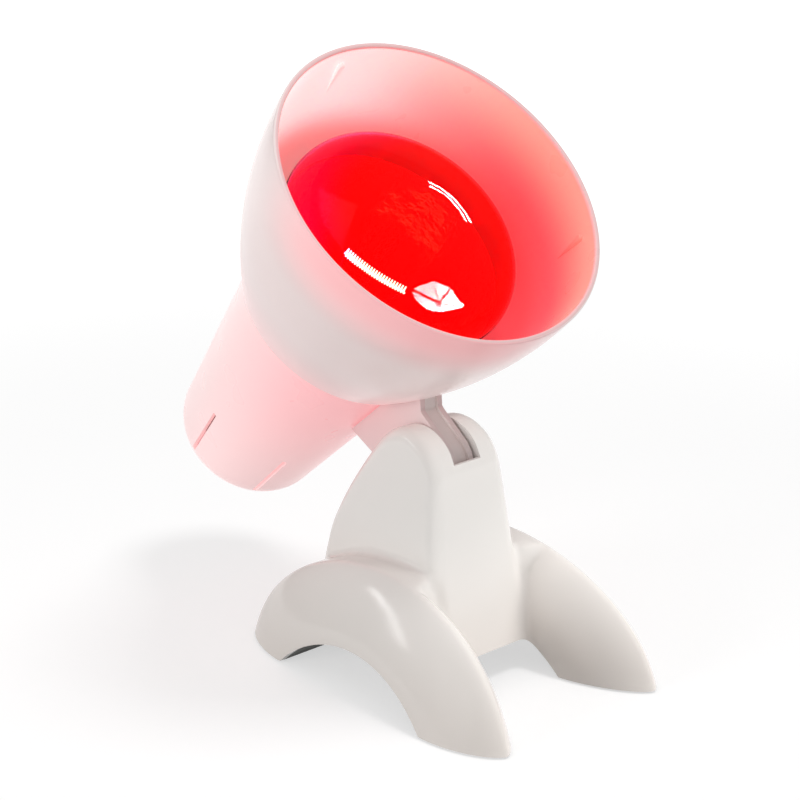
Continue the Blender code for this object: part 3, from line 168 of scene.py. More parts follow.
# Bulb
BULB_RADIUS = 0.0475
BULB_LENGTH = 0.138
BULB_FACE_Z = RIM_Z - 0.0176
BULB_GLASS = 0.001
BULB_SHOULDER_RADIUS = 0.013
BULB_FACE_RISE = 0.0035
BULB_FACE_EDGE_TILT = math.radians(11.46)
FILAMENT_FROM_FACE = 0.036
FILAMENT_SPAN = 0.027
FILAMENT_SAG = 0.0015
FILAMENT_TURN = math.radians(-53.5)
COIL_RADIUS = 0.0013
COIL_WIRE = 0.0003
COIL_TURNS = 24
COIL_STEPS = 12
WIRE_STEPS = 6
CAP_TOP_Z = BULB_FACE_Z - BULB_LENGTH + 0.0265
BULB_NECK_RADIUS = 0.01175
NECK_IN_CAP = 0.003
FACE_STEPS = 24
SHOULDER_STEPS = 14
BACK_STEPS = 5
RED_PAST_SHOULDER = 3
BULB_TURN_STEPS = 160
ROUND_CREASE = 60

tower_outline_shares = (
    (0.000, 0.053), (0.031, 0.127), (0.090, 0.274), (0.136, 0.422), (0.165, 0.553),
    (0.186, 0.691), (0.206, 0.812), (0.226, 0.880), (0.274, 0.945), (0.354, 0.987),
    (0.438, 1.000), (0.525, 0.986), (0.599, 0.945), (0.681, 0.862), (0.790, 0.726),
    (0.867, 0.610), (0.920, 0.509), (0.949, 0.403), (0.981, 0.232), (1.000, 0.053),
)
bulb_back_shares = (
    (0.00, 1.000), (0.12, 0.965), (0.25, 0.880), (0.38, 0.755), (0.50, 0.630),
    (0.62, 0.510), (0.74, 0.415), (0.86, 0.345), (0.95, 0.310), (1.00, 0.268),
)

# Shine and glow; the glow of the shade and housing is painted
PLASTIC_IOR = 1.49
BULB_GLASS_IOR = 1.15
FILAMENT_GLOW = 80.0
FILAMENT_IN_MIRRORS = 0.6
REFLECTOR_GLOW = 1.0
HOUSING_INSIDE_GLOW = 0.42
CORAL_FROM_RIM = 0.030
DEEP_FROM_RIM = 0.048
SHALLOW_FROM_RIM = 0.026
EDGE_FROM_RIM = 0.0016

# Light
LIGHT_TARGET = (0.0, -0.03, 0.12)
KEY_PLACE = (0.3, -0.3, 1.4)
KEY_SIZE = 0.4
KEY_POWER = 7.2
FRONT_PLACE = (0.7, -1.2, 0.45)
FRONT_SIZE = 0.5
FRONT_POWER = 10.5
FILL_PLACE = (-1.3, 0.05, 0.35)
FILL_SIZE = 0.6
FILL_POWER = 6.0
FLOOR_RADIUS = 6.0
FLOOR_STEPS = 96
FLOOR_NEAR = 0.25
FLOOR_FAR = 1.2
FLOOR_NEAR_GLOW = 0.57
WORLD_LIGHT = 0.46
WORLD_IN_MIRRORS = 0.35
BULB_VIEWPOINT = Vector((0.009, -0.071, 0.169))
STUDIO_DISTANCE = 1.1
UMBRELLA_STRENGTH = 400.0
UMBRELLA_RIB = 0.10
UMBRELLA_TOP_SHARE = 0.25
STRIP_STRENGTH = 150.0
STRIP_WIDTH = math.radians(0.6)
STRIP_SPACING = math.radians(1.3)
LEG_VIEWPOINT = Vector((-0.044, -0.053, 0.032))
LEG_STRIP_STRENGTH = 8.0
LEG_STRIP_WIDTH = math.radians(3.0)
leg_strip_ways = ((-0.503, 0.708, 0.496), (-0.685, 0.591, 0.426), (-0.806, 0.525, 0.275))
umbrella_hub_way = (0.561, -0.544, 0.624)
umbrella_corner_ways = (
    (0.462, -0.523, 0.717), (0.576, -0.463, 0.674), (0.638, -0.461, 0.617),
    (0.676, -0.547, 0.493), (0.483, -0.747, 0.457), (0.387, -0.769, 0.509),
)
bulb_strip_ways = (
    (0.731, 0.027, 0.682), (0.752, 0.020, 0.659), (0.770, 0.007, 0.637), (0.785, -0.010, 0.620),
    (0.797, -0.036, 0.607), (0.804, -0.062, 0.592), (0.807, -0.098, 0.582),
)

HEAD = Matrix.Translation(PIVOT) @ Matrix.Rotation(HEAD_TURN, 4, "X")
LAMP = HEAD @ Matrix.Translation((0.0, AXIS_ABOVE_PIVOT, 0.0))

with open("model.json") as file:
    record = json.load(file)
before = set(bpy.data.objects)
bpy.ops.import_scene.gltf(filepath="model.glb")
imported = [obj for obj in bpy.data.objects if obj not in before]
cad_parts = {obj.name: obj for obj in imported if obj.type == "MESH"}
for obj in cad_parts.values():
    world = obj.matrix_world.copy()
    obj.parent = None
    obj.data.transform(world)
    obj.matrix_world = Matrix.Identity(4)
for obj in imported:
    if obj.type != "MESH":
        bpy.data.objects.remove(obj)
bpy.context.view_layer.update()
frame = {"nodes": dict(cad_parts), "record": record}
scene = bpy.context.scene


def srgb(red, green, blue):
    """Linear colour of an sRGB value counted from 0 to 255."""
    shares = (v / 255 for v in (red, green, blue))
    return tuple(v / 12.92 if v <= 0.04045 else ((v + 0.055) / 1.055) ** 2.4 for v in shares)


# Materials

class Shader:
    """A material's nodes, with short ways to add and link them. place is the frame of its coordinates."""

    def __init__(self, name, place=None):
        self.material = bpy.data.materials.new(name)
        self.material.use_nodes = True
        self.tree = self.material.node_tree
        self.surface = self.tree.nodes["Principled BSDF"]
        self.coordinates = self.add("ShaderNodeTexCoord").outputs["Object"]
        if place is not None:
            into = self.add("ShaderNodeMapping", vector_type="TEXTURE")
            self.put(self.coordinates, into.inputs["Vector"])
            into.inputs["Location"].default_value = place.to_translation()
            into.inputs["Rotation"].default_value = place.to_euler()
            self.coordinates = into.outputs["Vector"]

    def add(self, kind, **values):
        node = self.tree.nodes.new(kind)
        for key, value in values.items():
            setattr(node, key, value)
        return node

    def put(self, value, socket):
        if isinstance(value, bpy.types.NodeSocket):
            self.tree.links.new(value, socket)
        elif hasattr(socket.default_value, "__len__") and len(socket.default_value) == 4 and len(value) == 3:
            socket.default_value = (*value, 1.0)
        else:
            socket.default_value = value

    def set(self, **values):
        for key, value in values.items():
            self.put(value, self.surface.inputs[key.replace("_", " ")])

    def math(self, operation, first, second=0.0):
        node = self.add("ShaderNodeMath", operation=operation)
        self.put(first, node.inputs[0])
        self.put(second, node.inputs[1])
        return node.outputs[0]

    def ramp(self, value, low, high, to_low=0.0, to_high=1.0):
        """value taken smoothly from low..high to to_low..to_high, and held outside it."""
        node = self.add("ShaderNodeMapRange", interpolation_type="SMOOTHSTEP")
        self.put(value, node.inputs["Value"])
        for name, number in (("From Min", low), ("From Max", high), ("To Min", to_low), ("To Max", to_high)):
            self.put(number, node.inputs[name])
        return node.outputs["Result"]

    def mix(self, share, first, second):
        node = self.add("ShaderNodeMix", data_type="RGBA")
        self.put(share, node.inputs["Factor"])
        self.put(first, node.inputs[6])
        self.put(second, node.inputs[7])
        return node.outputs[2]

    def noise(self, scale, detail=2.0, stretch=(1.0, 1.0, 1.0)):
        where = self.add("ShaderNodeMapping")
        self.put(self.coordinates, where.inputs["Vector"])
        where.inputs["Scale"].default_value = stretch
        node = self.add("ShaderNodeTexNoise")
        self.put(where.outputs["Vector"], node.inputs["Vector"])
        self.put(scale, node.inputs["Scale"])
        self.put(detail, node.inputs["Detail"])
        return node.outputs["Fac"]

    def bump(self, height, strength, distance):
        node = self.add("ShaderNodeBump")
        self.put(strength, node.inputs["Strength"])
        self.put(distance, node.inputs["Distance"])
        self.put(height, node.inputs["Height"])
        self.put(node.outputs["Normal"], self.surface.inputs["Normal"])

    def axes(self):
        node = self.add("ShaderNodeSeparateXYZ")
        self.put(self.coordinates, node.inputs[0])
        return node.outputs

    def off_axis(self):
        """Distance from the Z axis."""
        x, y, _ = self.axes()
        squares = self.math("ADD", self.math("MULTIPLY", x, x), self.math("MULTIPLY", y, y))
        return self.math("SQRT", squares)

    def facing_angle(self, degrees):
        """Cosine of the angle about the lamp axis from the given one, counted from the top of the head."""
        x, y, _ = self.axes()
        turn = math.radians(degrees)
        along = self.math(
            "ADD", self.math("MULTIPLY", x, math.sin(turn)), self.math("MULTIPLY", y, math.cos(turn)))
        return self.math("DIVIDE", along, self.off_axis())


def moulded(name, colour, roughness, variation=0.02, coat=0.0, place=None):
    """Moulded plastic: a faint unevenness in its colour, gloss and surface."""
    s = Shader(name, place)
    cloud = s.noise(22.0, 3.0)
    darker = tuple(v * (1 - variation) for v in colour)
    s.set(Base_Color=s.mix(cloud, colour, darker))
    s.set(Roughness=s.ramp(s.noise(60.0), 0.3, 0.7, roughness * 0.9, roughness * 1.1))
    s.bump(s.noise(700.0, 1.0), 0.04, 0.0002)
    s.surface.inputs["IOR"].default_value = PLASTIC_IOR
    s.surface.inputs["Coat Weight"].default_value = coat
    return s


def brushed(name, colour, roughness):
    """Metal with a fine grain that runs round it."""
    s = Shader(name)
    grain = s.noise(900.0, 4.0, (1.0, 1.0, 6.0))
    s.set(Base_Color=s.mix(grain, colour, tuple(v * 0.86 for v in colour)))
    s.set(Roughness=s.ramp(grain, 0.3, 0.7, roughness * 0.8, roughness * 1.25))
    s.surface.inputs["Metallic"].default_value = 1.0
    s.bump(grain, 0.15, 0.0001)
    return s


white = srgb(240, 237, 233)
stand_plastic = moulded("white_gloss_plastic", white, 0.14)
# Painted shade: the stand's white turns darker towards the floor, over its lowest 6 cm.
_, _, z = stand_plastic.axes()
clear_of_painted_floor_shade = stand_plastic.ramp(z, 0.0, 0.06)
stand_plastic.set(Base_Color=stand_plastic.mix(clear_of_painted_floor_shade, srgb(228, 221, 215), white))
STAND = stand_plastic.material
HIDDEN_WHITE = moulded("white_satin_plastic", srgb(222, 218, 214), 0.35).material


def shade_inside(name, level):
    """The shade's inside with the bulb's glow painted into its colour and emission, dimmed to a level: pale
    above, coral on the right and red low at the rim.
    """
    s = moulded(name, srgb(250, 225, 223), 0.3, place=LAMP)
    _, _, forwards = s.axes()
    depth = s.ramp(forwards, RIM_Z - CORAL_FROM_RIM, RIM_Z - 0.001, 1.0, 0.0)
    glow_painted_side = s.ramp(s.facing_angle(112), -0.45, 0.95)
    deep_in = s.ramp(forwards, RIM_Z - DEEP_FROM_RIM, RIM_Z - SHALLOW_FROM_RIM, 1.0, 0.0)
    pale = s.mix(deep_in, srgb(255, 247, 245), srgb(249, 182, 180))
    coral = s.mix(depth, srgb(250, 168, 153), srgb(250, 102, 112))
    glow = s.mix(glow_painted_side, pale, coral)
    # Painted glow, held back at the rim's very edge: greyer pink there, and a weaker glow.
    edge = s.ramp(forwards, RIM_Z - EDGE_FROM_RIM, RIM_Z - EDGE_FROM_RIM / 2)
    glow = s.mix(edge, glow, srgb(240, 200, 200))
    glow = s.mix(level, (0.0, 0.0, 0.0), glow)
    light = s.math("MULTIPLY", s.ramp(glow_painted_side, 0.0, 0.6, 0.49, 0.38), s.ramp(deep_in, 0.0, 1.0, 1.0, 0.6))
    light = s.math("MULTIPLY", light, s.ramp(edge, 0.0, 1.0, 1.0, 0.3))
    s.set(Base_Color=glow, Emission_Color=glow, Emission_Strength=light)
    return s.material


SHADE_INSIDE = shade_inside("shade_inside", 1.0)
# Painted shade: the lugs get the shade's painted glow dimmed to 0.8.
SHADE_LUGS = shade_inside("shade_lugs", 0.8)

# Painted glow on the shade's outside: pink near the rim on the lower side and near the seam, with emission
# that is stronger on the underside and where the glow is painted.
shade_out = moulded("shade_outside", srgb(236, 222, 220), 0.22, place=LAMP)
_, _, forwards = shade_out.axes()
near_rim = shade_out.ramp(forwards, RIM_Z - 0.030, RIM_Z - 0.004)
low_side = shade_out.ramp(shade_out.facing_angle(225), 0.35, 0.95)
near_seam = shade_out.ramp(forwards, SEAM_Z, SEAM_Z + 0.03, 0.45, 0.0)
glow_paint_share = shade_out.math("MAXIMUM", shade_out.math("MULTIPLY", near_rim, low_side), near_seam)
glow_painted_tint = shade_out.mix(glow_paint_share, srgb(244, 226, 224), srgb(252, 188, 190))
shade_out.set(Base_Color=glow_painted_tint, Emission_Color=glow_painted_tint)
underside = shade_out.ramp(shade_out.facing_angle(165), 0.3, 0.95, 0.08, 0.22)
lit_rim = shade_out.ramp(glow_paint_share, 0.0, 1.0, 0.08, 0.25)
shade_out.set(Emission_Strength=shade_out.math("MAXIMUM", underside, lit_rim))
SHADE_OUTSIDE = shade_out.material

fin_shader = moulded("fin_plastic", srgb(236, 206, 206), 0.2, place=HEAD)
# Painted glow: the fin turns pinker from its pivot up towards the shade.
_, y, _ = fin_shader.axes()
fin_glow_paint_share = fin_shader.ramp(y, -0.005, 0.035)
glow_painted_tint = fin_shader.mix(fin_glow_paint_share, srgb(240, 226, 224), srgb(242, 208, 208))
fin_shader.set(Base_Color=glow_painted_tint)
FIN_FINISH = fin_shader.material
WEB_FINISH = moulded("fin_web_plastic", srgb(246, 234, 231), 0.25).material

# Painted glow of the bulb through the housing: pinker towards the front and on the lower side, with emission
# stronger below.
housing = moulded("glowing_housing", srgb(250, 214, 214), 0.3, place=LAMP)
_, _, z = housing.axes()
front_glow = housing.ramp(z, HOUSING_REAR_Z, HOUSING_FRONT_Z, 0.15, 0.9)
below = housing.ramp(housing.facing_angle(180), -0.6, 0.8)
share = housing.math("MULTIPLY", front_glow, below)
glow_painted_tint = housing.mix(share, srgb(252, 224, 223), srgb(252, 184, 188))
housing.set(Base_Color=glow_painted_tint, Emission_Color=glow_painted_tint)
housing.set(Emission_Strength=housing.ramp(below, 0.0, 1.0, 0.20, 0.34))
HOUSING = housing.material

# Painted glow inside the housing, so the vents show lit.
glowing = moulded("glowing_housing_inside", srgb(240, 204, 204), 0.4)
glowing.set(Emission_Color=srgb(235, 190, 192), Emission_Strength=HOUSING_INSIDE_GLOW)
HOUSING_INSIDE = glowing.material

STEEL = brushed("zinc_plated_steel", (0.62, 0.62, 0.64), 0.28).material
BRASS = brushed("brass", (0.80, 0.62, 0.30), 0.24).material
PORCELAIN = moulded("porcelain", srgb(238, 236, 230), 0.12, coat=0.5).material
RUBBER = moulded("grey_rubber", srgb(150, 150, 148), 0.7, variation=0.12).material
NYLON = moulded("white_nylon", srgb(214, 210, 205), 0.45).material
FIBRE = moulded("brown_fibre", srgb(120, 74, 52), 0.7, variation=0.2).material
SILICONE = moulded("red_silicone", srgb(176, 72, 60), 0.5, variation=0.08).material

red_glass = Shader("red_glass", LAMP)
# Painted reflection: a crimson band near the edge of the glass, on one side.
near_edge = red_glass.ramp(red_glass.off_axis(), 0.026, 0.044)
painted_reflection_band = red_glass.math("MULTIPLY", near_edge, red_glass.ramp(red_glass.facing_angle(-35), 0.2, 0.8))
red_glass.set(Base_Color=red_glass.mix(painted_reflection_band, (1.0, 0.05, 0.05), (0.98, 0.05, 0.35)), Roughness=0.004)
red_glass.surface.inputs["Transmission Weight"].default_value = 1.0
red_glass.surface.inputs["IOR"].default_value = BULB_GLASS_IOR
RED_GLASS = red_glass.material

silver = Shader("silvered_glass", LAMP)
frost = silver.noise(140.0, 4.0)
silver.set(Base_Color=silver.mix(frost, (0.9, 0.86, 0.84), (0.8, 0.74, 0.72)))
silver.set(Roughness=silver.ramp(frost, 0.3, 0.7, 0.12, 0.22))
silver.surface.inputs["Metallic"].default_value = 0.85
SILVERED = silver.material

reflector = Shader("lit_reflector", LAMP)
ripple = reflector.noise(90.0, 3.0)
reflector.set(Base_Color=(1.0, 0.03, 0.03), Roughness=0.10)
reflector.surface.inputs["Metallic"].default_value = 1.0
# Painted reflection: the filament's light in the mirror coating is painted as a red glow that is darker
# towards the face, with a crimson tint on one side.
_, _, z = reflector.axes()
deep = reflector.ramp(z, CAP_TOP_Z, BULB_FACE_Z - 0.01, 1.0, 0.7)
painted_crimson_side = reflector.ramp(reflector.facing_angle(-35), 0.5, 0.95)
lit = reflector.mix(painted_crimson_side, (1.0, 0.002, 0.004), (1.0, 0.002, 0.10))
lit = reflector.mix(deep, (0.6, 0.0, 0.01), lit)
reflector.set(Emission_Color=lit, Emission_Strength=REFLECTOR_GLOW)
reflector.bump(ripple, 0.5, 0.0008)
REFLECTOR = reflector.material

hot = Shader("glowing_tungsten")
hot.set(Base_Color=(1.0, 0.8, 0.4), Roughness=0.4, Emission_Color=(1.0, 1.0, 0.8))
path = hot.add("ShaderNodeLightPath")
not_through_glass = hot.math("SUBTRACT", 1.0, path.outputs["Is Transmission Ray"])
mirrored = hot.math("MULTIPLY", path.outputs["Is Glossy Ray"], not_through_glass)
hot.set(Emission_Strength=hot.ramp(mirrored, 0.0, 1.0, FILAMENT_GLOW, FILAMENT_IN_MIRRORS))
TUNGSTEN = hot.material
TUNGSTEN.cycles.emission_sampling = "NONE"

clear = Shader("clear_glass")
clear.set(Base_Color=(0.96, 0.96, 0.96), Roughness=0.05)
clear.surface.inputs["Transmission Weight"].default_value = 0.9
CLEAR_GLASS = clear.material
BLACK_GLASS = moulded("black_glass", (0.02, 0.02, 0.02), 0.1, variation=0.3).material

CAD_FINISHES = {
    "bottom_cover": HIDDEN_WHITE, "lampholder_body": PORCELAIN, "glass_stem": CLEAR_GLASS,
    "cap_insulator": BLACK_GLASS,
}
SLOT_FINISHES = {
    "steel": STEEL, "brass": BRASS, "rubber": RUBBER, "nylon": NYLON, "fibre": FIBRE, "silicone": SILICONE,
}


def dress_cad_nodes():
    slots = {row["node"]: row["material_slot"] for row in frame["record"]["subparts"]}
    for name, node in frame["nodes"].items():
        finish = CAD_FINISHES.get(name) or SLOT_FINISHES.get(slots[name])
        if finish is not None:
            node.data.materials.clear()
            node.data.materials.append(finish)


# Meshes

def mesh_from(name, points, faces, indices=None):
    mesh = bpy.data.meshes.new(name)
    mesh.from_pydata([tuple(p) for p in points], [], faces)
    if indices is not None:
        mesh.polygons.foreach_set("material_index", indices)
    shape = bmesh.new()
    shape.from_mesh(mesh)
    bmesh.ops.recalc_face_normals(shape, faces=shape.faces)
    shape.to_mesh(mesh)
    shape.free()
    return mesh


def add_object(name, mesh, place=Matrix.Identity(4), finishes=()):
    made = bpy.data.objects.new(name, mesh)
    scene.collection.objects.link(made)
    made.matrix_world = place
    for finish in finishes:
        mesh.materials.append(finish)
    return made


def smooth(obj, degrees=35):
    obj.data.shade_smooth()
    obj.data.set_sharp_from_angle(angle=math.radians(degrees))


def fixed(obj):
    """The object's mesh with its modifiers applied."""
    graph = bpy.context.evaluated_depsgraph_get()
    made = bpy.data.meshes.new_from_object(
        obj.evaluated_get(graph), preserve_all_data_layers=True, depsgraph=graph)
    obj.modifiers.clear()
    obj.data = made
    return obj


def hand_over(piece, node, body):
    """Sets the piece's mesh in the frame's own axes, hides the node it stands for, and hangs it on its body.
    """
    piece.data.transform(piece.matrix_world)
    piece.matrix_world = Matrix.Identity(4)
    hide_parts(node)
    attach(piece, body)


def spun(name, profile, steps, spans=None, closed=True):
    """A profile of (radius, height) turned about Z. spans gives the material index of each stretch."""
    points = []
    rows = []
    for radius, height in profile:
        start = len(points)
        if radius == 0.0:
            points.append((0.0, 0.0, height))
            rows.append([start] * steps)
            continue
        for k in range(steps):
            turn = 2 * math.pi * k / steps
            points.append((radius * math.cos(turn), radius * math.sin(turn), height))
        rows.append(list(range(start, start + steps)))
    faces = []
    indices = []
    for i in range(len(rows) if closed else len(rows) - 1):
        first, second = rows[i], rows[(i + 1) % len(rows)]
        for k in range(steps):
            m = (k + 1) % steps
            loop = [first[k], first[m], second[m], second[k]]
            faces.append(tuple(dict.fromkeys(loop)))
            indices.append(spans[i] if spans else 0)
    return mesh_from(name, points, faces, indices)


def boolean(target, operation, *others):
    for other in others:
        cut = target.modifiers.new(f"{operation.lower()}_{other.name}", "BOOLEAN")
        cut.operation = operation
        cut.object = other
        cut.solver = "MANIFOLD"
    fixed(target)
    for other in others:
        bpy.data.objects.remove(other, do_unlink=True)
    return target


def shape_object(name, shape, place=Matrix.Identity(4)):
    """A bmesh, used up as the mesh of a new object."""
    mesh = bpy.data.meshes.new(name)
    shape.to_mesh(mesh)
    shape.free()
    return add_object(name, mesh, place)


def box_object(name, low, high, place=Matrix.Identity(4)):
    size = Vector(high) - Vector(low)
    middle = (Vector(high) + Vector(low)) / 2
    shape = bmesh.new()
    bmesh.ops.create_cube(shape, size=1.0, matrix=Matrix.Translation(middle) @ Matrix.Diagonal((*size, 1.0)))
    return shape_object(name, shape, place)


def rod_object(name, radius, start, end, steps=32, place=Matrix.Identity(4)):
    line = Vector(end) - Vector(start)
    middle = Matrix.Translation((Vector(start) + Vector(end)) / 2)
    shape = bmesh.new()
    bmesh.ops.create_cone(
        shape, cap_ends=True, segments=steps, radius1=radius, radius2=radius, depth=line.length,
        matrix=middle @ line.to_track_quat("Z", "Y").to_matrix().to_4x4(),
    )
    return shape_object(name, shape, place)


def prism_object(name, outline, low_x, high_x, place):
    """A flat outline in the YZ plane, thick along X."""
    count = len(outline)
    points = [(x, y, z) for x in (low_x, high_x) for y, z in outline]
    faces = [tuple(reversed(range(count))), tuple(range(count, 2 * count))]
    for i in range(count):
        k = (i + 1) % count
        faces.append((i, k, count + k, count + i))
    return add_object(name, mesh_from(name, points, faces), place)


def loft_faces(rings, size):
    faces = []
    for n in range(rings - 1):
        for i in range(size):
            k = (i + 1) % size
            faces.append((n * size + i, n * size + k, (n + 1) * size + k, (n + 1) * size + i))
    faces.append(tuple(reversed(range(size))))
    faces.append(tuple(range((rings - 1) * size, rings * size)))
    return faces


def smooth_curve(points, steps):
    """A Catmull-Rom curve through the points."""
    padded = [2 * points[0] - points[1], *points, 2 * points[-1] - points[-2]]
    curve = []
    for before, start, end, after in zip(padded, padded[1:], padded[2:], padded[3:]):
        for i in range(steps):
            t = i / steps
            curve.append(0.5 * (
                2 * start + (end - before) * t
                + (2 * before - 5 * start + 4 * end - after) * t ** 2
                + (3 * start - before - 3 * end + after) * t ** 3
            ))
    curve.append(points[-1])
    return curve


def offset_curve(points, distance):
    """The curve moved sideways, to the right of its own direction."""
    moved = []
    for i, point in enumerate(points):
        along = (points[min(i + 1, len(points) - 1)] - points[max(i - 1, 0)]).normalized()
        moved.append(point + distance * Vector((along.y, -along.x)))
    return moved


# Stand

def tower_object(name, inset, drop, curve_steps, edge_steps):
    """The tower as a rounded slab: its side outline, drawn in at both edges, and widened downwards."""
    front_y = STAND_CENTRE_Y - TOWER_FRONT
    outline = smooth_curve(
        [Vector((front_y + y * TOWER_DEPTH, z * TOWER_HEIGHT)) for y, z in tower_outline_shares], curve_steps
    )
    outline = offset_curve(outline, inset)
    radius = TOWER_EDGE_RADIUS - inset
    half = TOWER_TOP_HALF_WIDTH - inset
    turns = [math.pi / 2 * i / edge_steps for i in range(edge_steps + 1)]
    rows = [(half - radius + radius * math.sin(turn), radius * (1 - math.cos(turn))) for turn in turns]
    rows = [(-x, d) for x, d in reversed(rows)] + rows
    points = []
    for x, drawn_in in rows:
        row = offset_curve(outline, drawn_in)
        row = [Vector((row[0].x, row[0].y - drop)), *row, Vector((row[-1].x, row[-1].y - drop))]
        for point in row:
            widening = 1 + TOWER_DRAFT * (TOWER_HEIGHT - point.y) / TOWER_TOP_HALF_WIDTH
            points.append((x * widening, point.x, point.y))
    return add_object(name, mesh_from(name, points, loft_faces(len(rows), len(points) // len(rows))))


def saddle_share(y):
    """How far a leg's section is squared up beside the tower: 1 beside it, 0 clear of it."""
    ahead = (y + SADDLE_FRONT + SADDLE_FADE) / SADDLE_FADE
    behind = (SADDLE_REAR + SADDLE_FADE - y) / SADDLE_FADE
    share = max(0.0, min(1.0, ahead, behind))
    return share * share * (3 - 2 * share)


def leg_object(name, side, inset, length_steps, section_steps):
    """One arched leg: between the tunnel's circle and the outer arch, wide below and drawn in to a ridge."""
    half = LEG_HALF_WIDTH - inset
    reach = LEG_REACH - inset
    rise = LEG_RISE - inset
    points = []
    for i in range(length_steps + 1):
        angle = -LEG_SINK + (math.pi + 2 * LEG_SINK) * i / length_steps
        base = Vector((-TUNNEL_RADIUS * math.cos(angle), TUNNEL_CENTRE_Z + TUNNEL_RADIUS * math.sin(angle)))
        top = Vector((-reach * math.cos(angle), LEG_CENTRE_Z + rise * math.sin(angle)))
        ridge = RIDGE_X + SPLAY_AT_TIP * (top.x / LEG_REACH) ** 2
        inner_power = FREE_SECTION_POWER + (SADDLE_SECTION_POWER - FREE_SECTION_POWER) * saddle_share(top.x)
        section = [(half, -LEG_SKIRT_SHARE)]
        for k in range(section_steps + 1):
            turn = math.pi * k / section_steps
            power = FREE_SECTION_POWER if turn <= math.pi / 2 else inner_power
            across = math.copysign(abs(math.cos(turn)) ** (2 / power), math.cos(turn))
            section.append((half * across, abs(math.sin(turn)) ** (2 / power)))
        section.append((-half, -LEG_SKIRT_SHARE))
        for x, share in section:
            point = base + (top - base) * share
            points.append((side * (ridge + x), STAND_CENTRE_Y + point.x, point.y))
    return add_object(name, mesh_from(name, points, loft_faces(length_steps + 1, section_steps + 3)))


def tree_of(obj):
    return BVHTree.FromPolygons(
        [v.co for v in obj.data.vertices], [tuple(p.vertices) for p in obj.data.polygons])


def voxel_union(first, others, voxel):
    """Closed forms that overlap, made into one skin."""
    shape = bmesh.new()
    for obj in (first, *others):
        shape.from_mesh(obj.data)
    shape.to_mesh(first.data)
    shape.free()
    for obj in others:
        bpy.data.objects.remove(obj, do_unlink=True)
    remesh = first.modifiers.new("voxels", "REMESH")
    remesh.mode = "VOXEL"
    remesh.voxel_size = voxel
    return fixed(first)


def cover_screw_places():
    return [(x, STAND_CENTRE_Y + y) for y in (-COVER_SCREW_FRONT, COVER_SCREW_REAR)
            for x in (-COVER_SCREW_X, COVER_SCREW_X)]


def stand_box(name, low, high):
    """A box with its Y counted from the stand's centre."""
    return box_object(
        name, (low[0], STAND_CENTRE_Y + low[1], low[2]), (high[0], STAND_CENTRE_Y + high[1], high[2])
    )


def add_smoothing(obj, name, factor, passes):
    easing = obj.modifiers.new(name, "SMOOTH")
    easing.factor = factor
    easing.iterations = passes
    return easing


def stand_outer():
    """The smooth outer form, one skin with soft fillets between tower and legs."""
    voxel = VOXEL
    tower = tower_object("stand_shell_moulding", 0.0, STAND_WALL + OVERRUN, *TOWER_STEPS)
    legs = [leg_object(f"leg_form_{side}", side, 0.0, *LEG_STEPS) for side in (-1, 1)]
    tower_tree = tree_of(tower)
    leg_trees = [tree_of(leg) for leg in legs]
    outer = voxel_union(tower, legs, voxel)
    near = outer.vertex_groups.new(name="fillet")
    for vertex in outer.data.vertices:
        to_tower = tower_tree.find_nearest(vertex.co, FILLET_REACH)[3]
        if to_tower is None:
            continue
        to_leg = min((tree.find_nearest(vertex.co, FILLET_REACH)[3] or FILLET_REACH) for tree in leg_trees)
        share = 1.0 - max(to_tower, to_leg) / FILLET_REACH
        if share > 0.0:
            near.add([vertex.index], min(1.0, 2.0 * share), "REPLACE")
    add_smoothing(outer, "even", EVEN_FACTOR, EVEN_PASSES)
    passes = max(LEAST_FILLET_PASSES, round(FILLET_PASSES * (VOXEL / voxel) ** 2))
    add_smoothing(outer, "fillet", FILLET_FACTOR, passes).vertex_group = "fillet"
    return fixed(outer)


def stand_cavity():
    """The hollow, which leaves the walls beside the tilt slot and the bosses of the cover's screws."""
    cavity = tower_object("cavity", STAND_WALL, STAND_WALL + OVERRUN, *CAVITY_TOWER_STEPS)
    legs = [leg_object(f"cavity_leg_{side}", side, STAND_WALL, *CAVITY_LEG_STEPS) for side in (-1, 1)]
    cavity = voxel_union(cavity, legs, QUICK_VOXEL)
    cavity = boolean(cavity, "DIFFERENCE", stand_box(
        "slot_walls", (-CHEEK_OUT, -FAR, SLOT_FLOOR_Z - CHEEK_THICKNESS),
        (CHEEK_OUT, FAR, TOWER_HEIGHT + OVERRUN),
    ))
    low = COVER_TOP_Z + GAP
    high = LEG_RISE + OVERRUN
    return boolean(cavity, "DIFFERENCE", *(
        rod_object(f"cover_boss_{n}", COVER_BOSS_RADIUS, (x, y, low), (x, y, high), BOSS_STEPS)
        for n, (x, y) in enumerate(cover_screw_places())
    ))


